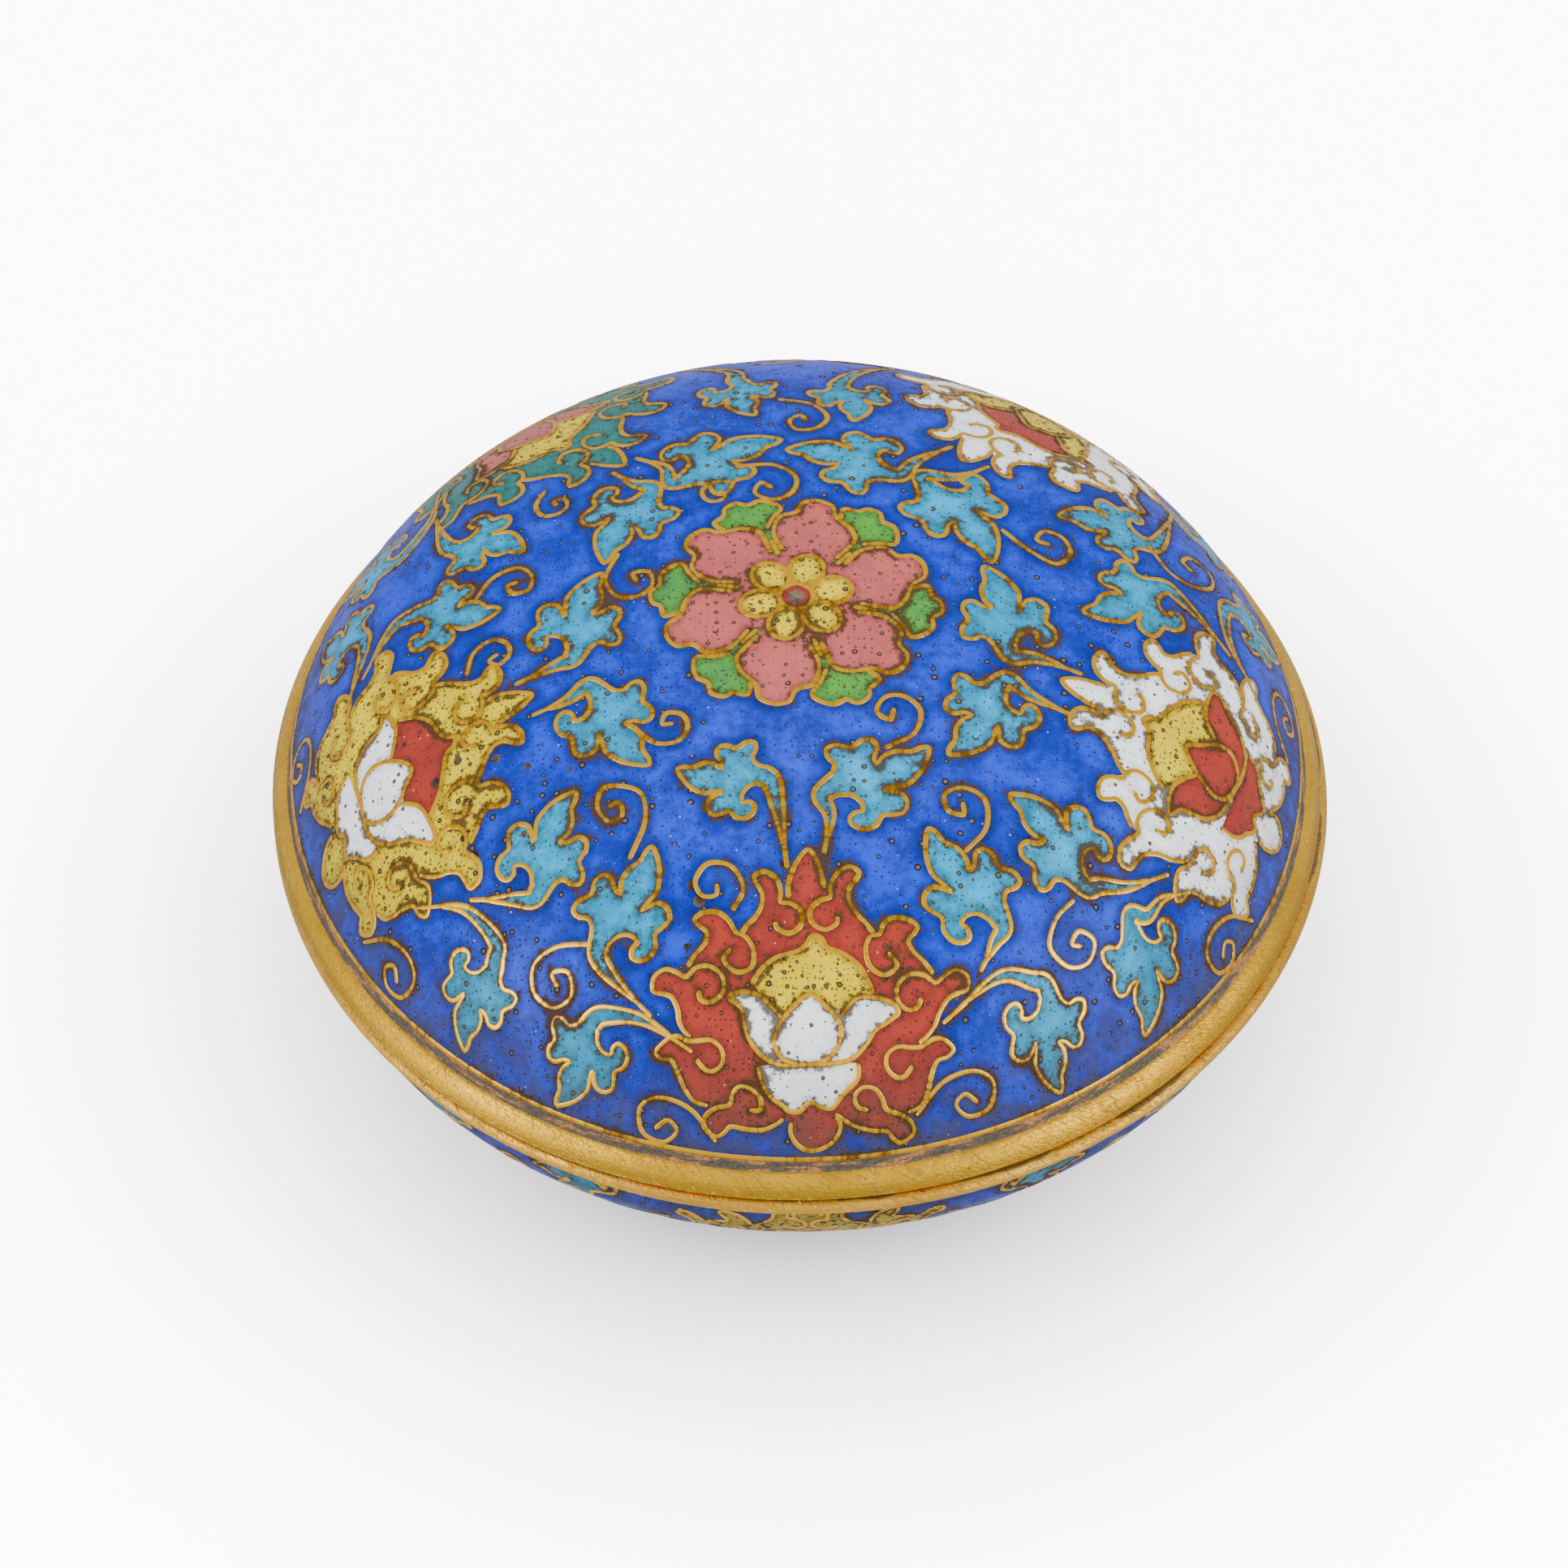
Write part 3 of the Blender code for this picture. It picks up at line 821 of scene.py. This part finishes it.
class Painter:
    """Builds one procedural material with short calls."""

    def __init__(self, name):
        self.material = bpy.data.materials.new(name)
        self.material.use_nodes = True
        self.tree = self.material.node_tree
        self.shader = self.tree.nodes["Principled BSDF"]

    def put(self, socket, value):
        """Links a value to an input, or sets a number or a colour there."""
        if isinstance(value, Value):
            self.tree.links.new(value.socket, socket)
        elif socket.type == "RGBA":
            socket.default_value = (*value, 1.0)
        else:
            socket.default_value = value

    def set(self, name, value):
        self.put(self.shader.inputs[name], value)

    def node(self, kind, inputs=(), **settings):
        """A new node with its first inputs filled, or those that are named."""
        made = self.tree.nodes.new(kind)
        for key, value in settings.items():
            setattr(made, key, value)
        for key, value in inputs.items() if isinstance(inputs, dict) else enumerate(inputs):
            self.put(made.inputs[key], value)
        return made

    def math(self, operation, *values):
        return Value(self, self.node("ShaderNodeMath", values, operation=operation).outputs[0])

    def vector_math(self, operation, *values):
        made = self.node("ShaderNodeVectorMath", values, operation=operation)
        return Value(self, made.outputs["Value" if operation == "LENGTH" else "Vector"])

    def mix(self, share, first, second):
        made = self.node("ShaderNodeMix", data_type="RGBA")
        for number, value in ((0, share), (6, first), (7, second)):
            self.put(made.inputs[number], value)
        return Value(self, made.outputs[2])

    def noise(self, place, scale, detail=2.0, roughness=0.5, distortion=0.0):
        return Value(self, self.node("ShaderNodeTexNoise", {
            "Vector": place, "Scale": scale, "Detail": detail, "Roughness": roughness,
            "Distortion": distortion}).outputs["Fac"])

    def cells(self, place, scale):
        """Distance to the nearest random point, and two random values of that point's own."""
        made = self.node("ShaderNodeTexVoronoi", {"Vector": place, "Scale": scale}, voronoi_dimensions="2D")
        parts = self.node("ShaderNodeSeparateColor", [Value(self, made.outputs["Color"])])
        return [Value(self, output) for output in (made.outputs["Distance"], *parts.outputs[:2])]

    def split(self, vector):
        return [Value(self, output) for output in self.node("ShaderNodeSeparateXYZ", [vector]).outputs]

    def join(self, *values):
        return Value(self, self.node("ShaderNodeCombineXYZ", values).outputs[0])

    def flat(self):
        """Place on the flat map as a vector, and the other number that flat_piece keeps."""
        kept = self.node("ShaderNodeAttribute", attribute_name="flat")
        x, y, other = self.split(Value(self, kept.outputs["Vector"]))
        return self.join(x, y), other

    def place(self):
        """Place in metres."""
        return Value(self, self.node("ShaderNodeTexCoord").outputs["Object"])

    def around(self):
        """Distance round the upright axis from the front, at the mouth, and height, in millimetres."""
        x, y, z = self.split(self.place())
        return self.math("ARCTAN2", x, y * -1.0) * MOUTH_RADIUS, z * (1.0 / MM)

    def bump(self, height, distance, strength):
        made = self.node("ShaderNodeBump", {"Height": height, "Distance": distance, "Strength": strength})
        self.set("Normal", Value(self, made.outputs["Normal"]))


def srgb(red, green, blue):
    """A colour read by eye as 0 to 255, as the renderer's linear values."""
    def linear(value):
        value /= 255.0
        return value / 12.92 if value <= 0.04045 else ((value + 0.055) / 1.055) ** 2.4
    # A colour read as 0 to 255, as the renderer's linear values.
    return (linear(red), linear(green), linear(blue))


MOUTH_RADIUS = 40.0
DIRT = srgb(58, 42, 20)
SEAM_DIRT = srgb(52, 34, 14)
PIT_DUST = srgb(104, 88, 72)
DULL_FILM_AND_SHADE = srgb(92, 86, 76)
PALE_FLECK = srgb(205, 208, 210)
SCRATCH_SHINE = srgb(255, 226, 110)
SPECULAR = 0.14            # below a new glass's, as the surface is ground and worn

# Pits and flecks of the enamel, in millimetres on the flat map
FINE_SPACING = 0.42
COARSE_SPACING = 1.0
FLECK_SPACING = 0.7
FLECK_RADIUS = 0.11
FLECK_SHIFT = 31.7         # so that the flecks don't fall where the pits do
SMALLEST_PIT = 0.36        # for the largest of its kind
MOSTLY_SMALL = 2.2         # the higher, the fewer large pits
DULL_FROM = 37.0           # distance from the middle where the enamel begins to dull and darken toward its edge: a worn film with painted shade
DULL_TO = 45.2


def pits(painter, place, spacing, radius, share, gather=1.0):
    """Round pits scattered over the flat map: how far in from the edge of one, 0 outside it."""
    distance, chance, size = painter.cells(place, 1.0 / spacing)
    largest = radius / spacing
    reach = (size ** MOSTLY_SMALL).ramp(0.0, 1.0, SMALLEST_PIT * largest, largest, smooth=False)
    return (1.0 - distance / reach).larger(0.0) * (chance < gather * share)


def grime_spread(painter, place):
    """How dirty a part of the surface is, the same for its enamel and its wires."""
    return painter.noise(place, 1.6, 3.0, 0.6) * 0.45 + painter.noise(place, 0.17, 2.0, 0.6) * 0.55


def enamel(name, main, second, edge, pit, fine_share, coarse_share, fine_radius=0.11, coarse_radius=0.2,
           edge_reach=0.9, edge_strength=0.8, fleck=0.02, gloss=0.3):
    """Mottled enamel with pits, darker and dirtier beside the wires, and near the rim dull, greyer and
    darker: a worn film with painted shade.
    """
    painter = Painter(name)
    place, gap = painter.flat()
    edge = srgb(*edge)
    broad = painter.noise(place, 0.22, 3.0, 0.6)
    cloudy = painter.noise(place, 1.3, 4.0, 0.65)
    grain = painter.noise(place, 6.0, 3.0, 0.6)
    mottling = broad * 0.5 + (cloudy * 0.3 + grain * 0.2)
    colour = painter.mix(mottling.ramp(0.4, 0.6), srgb(*main), srgb(*second))
    near_wire = gap.ramp(0.22, edge_reach, edge_strength, 0.0)
    colour = painter.mix(near_wire * cloudy.ramp(0.3, 0.7, 0.35, 1.0), colour, edge)
    gather = painter.noise(place, 0.16, 2.0).ramp(0.36, 0.6, 0.4, 1.0) * gap.ramp(0.35, 1.3, 1.0, 0.55)
    fine = pits(painter, place, FINE_SPACING, fine_radius, fine_share)
    coarse = pits(painter, place, COARSE_SPACING, coarse_radius, coarse_share, gather)
    pitted = fine.ramp(0.0, 0.45, 0.0, 0.8).larger(coarse.ramp(0.0, 0.22))
    inside_pit = painter.mix(coarse.ramp(0.4, 0.65, 0.0, 0.85), srgb(*pit), PIT_DUST)
    elsewhere = painter.vector_math("ADD", place, (FLECK_SHIFT, FLECK_SHIFT, 0.0))
    flecks = pits(painter, elsewhere, FLECK_SPACING, FLECK_RADIUS, fleck).ramp(0.0, 0.5)
    grime_edge = grime_spread(painter, place).ramp(0.43, 0.64, 0.2, 0.76)
    grime = (gap - grime_edge).ramp(-0.22, 0.08, 0.9, 0.0)
    # Toward the rim: a duller worn film, and painted shade that greys and darkens the colour
    outer = painter.vector_math("LENGTH", place).ramp(DULL_FROM, DULL_TO, 0.0, 0.85)
    dull_and_shade = outer * painter.noise(place, 0.5, 4.0, 0.65).ramp(0.36, 0.62, 0.35, 1.0)
    colour = painter.mix(dull_and_shade, colour, painter.mix(0.4, edge, DULL_FILM_AND_SHADE))
    colour = painter.mix(flecks * 0.35, colour, PALE_FLECK)
    colour = painter.mix(grime, colour, DIRT)
    colour = painter.mix(pitted, colour, inside_pit)
    painter.set("Base Color", colour)
    painter.set("Specular IOR Level", SPECULAR)
    painter.set("Roughness", pitted.larger(grime.larger(dull_and_shade)).ramp(0.0, 1.0, gloss, 0.7))
    painter.bump(painter.noise(place, 0.9, 3.0, 0.55) * 0.7 - pitted, 0.00009, 0.9)
    return painter.material


def wire_metal(name, bright, worn):
    """Gilding of the wires: brown where it is worn, with dirt on both sides where the enamel has it too."""
    painter = Painter(name)
    place, across = painter.flat()
    spread = grime_spread(painter, place)
    patch = painter.noise(place, 0.5, 3.0, 0.6)
    grain = painter.noise(place, 3.5, 3.0, 0.7)
    wear = spread * 0.5 + (patch * 0.3 + grain * 0.2)
    sides = (across + spread.ramp(0.44, 0.64, -0.2, 0.5)).ramp(0.66, 1.16, 0.0, 0.9)
    colour = painter.mix(wear.ramp(0.46, 0.6), bright, worn)
    painter.set("Base Color", painter.mix(sides, colour, SEAM_DIRT))
    painter.set("Metallic", sides.ramp(0.2, 1.0, 1.0, 0.3))
    painter.set("Roughness", (grain * 0.5 + sides * 0.5).ramp(0.2, 0.8, 0.34, 0.6))
    painter.bump(grain + painter.noise(place, 9.0, 2.0, 0.7), 0.00003, 0.4)
    return painter.material


def plain_gilt(name, bright, worn):
    """Gilding of the inside and the underside."""
    painter = Painter(name)
    place = painter.vector_math("MULTIPLY", painter.place(), (1.0 / MM,) * 3)
    grain = painter.noise(place, 2.4, 3.0, 0.7)
    wear = (painter.noise(place, 0.13, 3.0, 0.6) * 0.7 + grain * 0.3).ramp(0.52, 0.7)
    painter.set("Base Color", painter.mix(wear, bright, worn))
    painter.set("Metallic", 1.0)
    painter.set("Roughness", (grain * 0.6 + wear * 0.4).ramp(0.2, 0.8, 0.32, 0.58))
    painter.bump(painter.noise(place, 9.0, 2.0, 0.7) + grain, 0.00002, 0.35)
    return painter.material


def turned_gilt(name, bright, worn, dark, painted_shade_heights=None):
    """Gilding of a turned band with lines, scratches and spots, and patches of painted shade in the worn
    colour between two heights.
    """
    painter = Painter(name)
    around, height = painter.around()
    place = painter.join(around, height)
    lines = painter.noise(painter.join(around * 0.25, height * 7.0), 1.0, 3.0, 0.55)
    sparkle = painter.noise(painter.join(around + height * 1.5, height * 2.2), 2.6, 3.0, 0.65)
    slant = painter.noise(painter.join(around + height * 1.4, height * 0.4), 1.6, 2.0, 0.5, 0.6)
    scratches = abs(slant - 0.5).ramp(0.0, 0.018, 1.0, 0.0)
    spots = painter.noise(place, 2.0, 4.0, 0.7).ramp(0.6, 0.7)
    patch = painter.noise(place, 0.14, 3.0, 0.6)
    shade = lines * 0.35 + sparkle * 0.65
    wear = (shade * 0.5 + patch * 0.5).ramp(0.42, 0.62, 0.0, 0.6)
    # Painted shade: the band's lower part darker in patches, in the worn colour
    if painted_shade_heights:
        low, high = painted_shade_heights
        wavy = height + shade.ramp(0.3, 0.7, -0.35, 0.35)
        painted_shade_patches = wavy.ramp(low - 0.1, low + 0.15) * wavy.ramp(high, high - 0.8)
        wear = wear.larger(painted_shade_patches * shade.ramp(0.34, 0.62, 0.55, 1.0))
    colour = painter.mix(wear, bright, worn)
    colour = painter.mix(spots * 0.6, colour, dark)
    colour = painter.mix(scratches * 0.7, colour, SCRATCH_SHINE)
    from_seam = abs(height - SEAM_HEIGHT) + patch.ramp(0.3, 0.7, -0.06, 0.1)
    seam = from_seam.ramp(0.14, 0.22, 0.9, 0.0)
    painter.set("Base Color", painter.mix(seam, colour, SEAM_DIRT))
    painter.set("Metallic", 1.0 - seam)
    painter.set("Roughness", (shade + spots * 0.4).ramp(0.36, 0.7, 0.22, 0.6))
    painter.bump(shade + scratches * 0.6, 0.0002, 0.8)
    return painter.material


def groove_dirt():
    """Bare pinkish copper between the enamel and the band, under long crusts of dark dirt."""
    painter = Painter("groove_dirt")
    around, height = painter.around()
    fine = painter.noise(painter.join(around, height * 1.5), 2.6, 3.0, 0.7)
    crust = painter.noise(painter.join(around * 0.3, height * 1.6), 1.0, 3.0, 0.6) * 0.75 + fine * 0.25
    copper = painter.mix(fine.ramp(0.35, 0.65), srgb(178, 130, 84), srgb(138, 92, 56))
    dirt = painter.mix(fine.ramp(0.4, 0.62), srgb(40, 38, 30), srgb(74, 72, 60))
    covered = crust.ramp(0.43, 0.5, 0.0, 0.95)
    painter.set("Base Color", painter.mix(covered, copper, dirt))
    painter.set("Roughness", 0.7)
    painter.set("Metallic", covered.ramp(0.0, 1.0, 0.5, 0.0))
    painter.bump(fine + covered, 0.00008, 0.7)
    return painter.material


ENAMELS = {
    "blue": dict(main=(9, 33, 138), second=(17, 56, 200), edge=(7, 20, 60), pit=(30, 24, 22),
                 fine_share=0.5, coarse_share=0.5, coarse_radius=0.32, fleck=0.05, edge_reach=1.15,
                 edge_strength=0.95),
    "turquoise": dict(main=(0, 154, 204), second=(0, 128, 174), edge=(26, 82, 96), pit=(44, 38, 30),
                      fine_share=0.5, coarse_share=0.5, coarse_radius=0.3, edge_reach=1.5,
                      edge_strength=1.0),
    "yellow": dict(main=(206, 182, 0), second=(188, 160, 0), edge=(122, 98, 2), pit=(44, 32, 8),
                   fine_share=0.8, coarse_share=1.9, fine_radius=0.15, coarse_radius=0.27,
                   edge_reach=0.8, edge_strength=0.75),
    "red": dict(main=(150, 50, 38), second=(126, 43, 37), edge=(88, 32, 26), pit=(46, 22, 18),
                fine_share=0.4, coarse_share=0.8, fleck=0.06),
    "white": dict(main=(236, 237, 240), second=(214, 218, 228), edge=(188, 182, 170), pit=(64, 50, 36),
                  fine_share=0.2, coarse_share=0.95, coarse_radius=0.19, fleck=0.0),
    "pink": dict(main=(168, 82, 78), second=(152, 72, 72), edge=(112, 52, 46), pit=(56, 30, 26),
                 fine_share=0.4, coarse_share=1.5, coarse_radius=0.26),
    "green": dict(main=(72, 138, 42), second=(52, 112, 60), edge=(52, 78, 28), pit=(32, 40, 18),
                  fine_share=0.8, coarse_share=1.2),
    "teal": dict(main=(34, 112, 112), second=(24, 94, 94), edge=(32, 64, 60), pit=(34, 34, 26),
                 fine_share=0.4, coarse_share=0.9, edge_reach=1.2),
    "pit": dict(main=(104, 88, 74), second=(60, 50, 44), edge=(34, 28, 26), pit=(16, 12, 12),
                fine_share=0.3, coarse_share=0.4, gloss=0.6),
}
enamels = {name: enamel(f"enamel_{name}", **look) for name, look in ENAMELS.items()}
wire_gilt = wire_metal("wire_gilt", srgb(255, 194, 36), srgb(150, 96, 20))
lid_gilt = turned_gilt("lid_gilt", srgb(254, 196, 50), srgb(190, 142, 24), srgb(74, 52, 16), (18.4, 19.75))
rim_gilt = turned_gilt("rim_gilt", srgb(250, 192, 66), srgb(206, 146, 44), srgb(74, 52, 18))
inner_gilt = plain_gilt("inner_gilt", srgb(236, 170, 60), srgb(160, 100, 30))
dirt_filled = groove_dirt()

METAL_INSET = 0.02         # the metal's side stays this far inside the enamel's edge
INSIDE_STEPS = 60

# Lid
LID_SEAT = 1.3             # lower edge of the shell, above the seam
GROOVE_PROFILE = [(38.34, 3.0), (38.45, 2.8), (38.56, 2.45), (38.66, 2.2), (38.8, 2.05), (38.4, 1.6)]
LID_BAND_PROFILE = [(36.6, 0.15), (39.6, 0.15), (39.78, 0.2), (39.88, 0.32), (39.9, 0.5), (39.86, 0.72),
                    (39.76, 0.98), (39.6, 1.28), (39.4, 1.58), (39.16, 1.86), (38.94, 2.05), (38.76, 2.14),
                    (38.62, 2.14), (38.56, 2.04), (38.54, 1.0), (36.6, 1.0)]
lid_low, lid_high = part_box("lid_shell")
lid_axis = (lid_low.x + lid_high.x) / 2 / MM
dome = Surface(dome_profile(), lid_axis, 1)
lid_design = lid_pattern(dome.length)
lid_pieces = enamel_pieces("lid", lid_design, dome, 0.0, enamels)
lid_pieces.append(wire_piece("lid_wires", lid_design, dome, wire_gilt))
lid_side = LID_EDGE_RADIUS - METAL_INSET
lid_profile = [(lid_side, LID_EDGE_HEIGHT - METAL_INSET), (lid_side, LID_SEAT)]
lid_profile += [(LID_INNER_RADIUS, LID_SEAT)] + inset(dome_profile(INSIDE_STEPS), LID_WALL)[:-2][::-1]
lid_pieces.append(turned_piece("lid_metal", lid_profile, inner_gilt, lid_axis, closed=False))
lid_pieces.append(turned_piece("lid_groove", GROOVE_PROFILE, dirt_filled, lid_axis))
for piece in lid_pieces:
    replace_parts(piece, "lid_shell")
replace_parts(turned_piece("lid_mouth_band", LID_BAND_PROFILE, lid_gilt, lid_axis), "lid_band")

# Bowl
BOWL_BAND_PROFILE = [(34.9, 3.0), (35.7, 3.0), (36.0, 2.6), (36.0, -0.15), (39.6, -0.15), (39.85, -0.2),
                     (40.05, -0.34), (40.17, -0.52), (40.2, -0.75), (40.17, -0.98), (40.05, -1.16),
                     (39.85, -1.3), (39.6, -1.35), (39.2, -1.42), (38.98, -1.66), (38.6, -1.66),
                     (34.9, -1.35)]
ENAMEL_START = 24.2        # the bowl's enamel starts this far from the axis, inside the foot
UNDERSIDE_RADIUS = 24.6    # the bare metal under the bowl ends here, behind the enamel's start
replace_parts(turned_piece("bowl_mouth_band", BOWL_BAND_PROFILE, rim_gilt), "box_band")
bowl = Surface(bowl_profile(), 0.0, -1)
bowl_design = bowl_pattern(bowl.length)
enamel_start = float(np.interp(ENAMEL_START, bowl.radius, bowl.arc))
bowl_pieces = enamel_pieces("bowl", bowl_design, bowl, enamel_start, enamels)
bowl_pieces.append(wire_piece("bowl_wires", bowl_design, bowl, wire_gilt))
inside_bowl = inset(bowl_profile(INSIDE_STEPS), BOWL_WALL)[:-1]
inside_bowl += [(BOWL_EDGE_RADIUS - BOWL_WALL, BOWL_TOP), (BOWL_EDGE_RADIUS - METAL_INSET, BOWL_TOP)]
bowl_pieces.append(turned_piece("bowl_metal", inside_bowl, inner_gilt, closed=False))
underside = [point for point in bowl_profile(INSIDE_STEPS) if point[0] < UNDERSIDE_RADIUS]
bowl_pieces.append(turned_piece("bowl_underside", underside, inner_gilt, closed=False))
for piece in bowl_pieces:
    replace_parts(piece, "box_shell")

# Foot
foot_top = bowl_height(FOOT_RADIUS)
FOOT_PROFILE = [(25.35, foot_top + 0.1), (25.12, foot_top - 0.25), (FOOT_RADIUS, foot_top - 0.7),
                (25.05, foot_top - 1.3), (25.6, 0.4 - SEAM_HEIGHT), (25.62, 0.15 - SEAM_HEIGHT),
                (25.5, -SEAM_HEIGHT), (23.3, -SEAM_HEIGHT), (FOOT_INNER, 0.1 - SEAM_HEIGHT),
                (FOOT_INNER, bowl_height(FOOT_INNER) - 0.3), (22.9, bowl_height(22.9) + 0.1)]
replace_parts(turned_piece("foot", FOOT_PROFILE, rim_gilt), "foot_ring")

# Floor, light and camera (m)
FLOOR_HALF = 3.0
LIGHT_TARGET = Vector((0.0, 0.0, 0.02))
floor_mesh = bpy.data.meshes.new("floor")
corners = ((-1, -1), (1, -1), (1, 1), (-1, 1))
floor_mesh.from_pydata([(x * FLOOR_HALF, y * FLOOR_HALF, 0.0) for x, y in corners], [], [(0, 1, 2, 3)])
floor_paint = Painter("floor_white")
floor_paint.set("Base Color", (0.93, 0.93, 0.94))
floor_paint.set("Roughness", 0.9)
floor_paint.set("Emission Color", (1.0, 1.0, 1.0))
# The floor glows though it is no lamp. Its painted glow is weakest near the axis, which leaves a painted
# shadow round the foot, and strongest from 76 mm out. It fades away far off.
from_axis = floor_paint.vector_math("LENGTH", floor_paint.place())
painted_glow_and_shadow = from_axis.ramp(0.024, 0.076, 0.1, 9.0)
far_fade = from_axis.ramp(0.35, 1.3, 1.0, 0.0)
floor_paint.set("Emission Strength", painted_glow_and_shadow * far_fade)
floor_mesh.materials.append(floor_paint.material)
floor = bpy.data.objects.new("floor", floor_mesh)
bpy.context.scene.collection.objects.link(floor)
floor.visible_diffuse = False      # the floor, bright with its painted glow, is only seen, and doesn't pale the enamel
floor.visible_glossy = False


def area_light(name, place, size, power, rays):
    """A soft light aimed at the box, for either the diffuse or the glossy rays."""
    data = bpy.data.lights.new(name, "AREA")
    data.shape = "RECTANGLE"
    data.size, data.size_y = size
    data.energy = power
    light = bpy.data.objects.new(name, data)
    light.location = place
    light.rotation_mode = "QUATERNION"
    light.rotation_quaternion = (LIGHT_TARGET - Vector(place)).to_track_quat("-Z", "Y")
    light.visible_diffuse = rays == "diffuse"
    light.visible_glossy = rays == "glossy"
    bpy.context.scene.collection.objects.link(light)


# The diffuse light, and weaker panels that only the gilding and the glaze reflect
area_light("glow_above", (0.0, 0.22, 0.80), (0.5, 0.4), 2.2, "diffuse")
area_light("glow_right", (0.62, -0.10, 0.52), (0.6, 0.5), 8.0, "diffuse")
area_light("glow_left", (-0.62, -0.10, 0.52), (0.6, 0.5), 7.6, "diffuse")
area_light("glow_front", (0.0, -0.75, 0.30), (0.7, 0.3), 2.6, "diffuse")
area_light("shine_above", (0.0, 0.22, 0.80), (0.5, 0.4), 2.4, "glossy")
area_light("shine_right", (0.66, -0.42, 0.27), (0.35, 0.5), 3.4, "glossy")
area_light("shine_left", (-0.66, -0.42, 0.27), (0.35, 0.5), 3.4, "glossy")
area_light("shine_front", (0.0, -0.75, 0.36), (0.7, 0.3), 0.55, "glossy")
world = bpy.data.worlds.new("studio")
world.use_nodes = True
background = world.node_tree.nodes["Background"]
background.inputs["Color"].default_value = (1.0, 1.0, 1.0, 1.0)
background.inputs["Strength"].default_value = 0.74
bpy.context.scene.world = world

CAMERA_ELEVATION = math.radians(50.08)
CAMERA_DISTANCE = 0.600
camera_data = bpy.data.cameras.new("photo")
camera_data.sensor_width = 36.0
camera_data.lens = 180.6
camera_data.shift_x = -0.01035
camera_data.clip_start = 0.05
camera_data.clip_end = 20.0
camera = bpy.data.objects.new("photo", camera_data)
camera.location = (0.0, -CAMERA_DISTANCE * math.cos(CAMERA_ELEVATION),
                   SEAM_HEIGHT * MM + CAMERA_DISTANCE * math.sin(CAMERA_ELEVATION))
camera.rotation_euler = (0.5 * math.pi - CAMERA_ELEVATION, 0.0, 0.0)
bpy.context.scene.collection.objects.link(camera)
bpy.context.scene.camera = camera
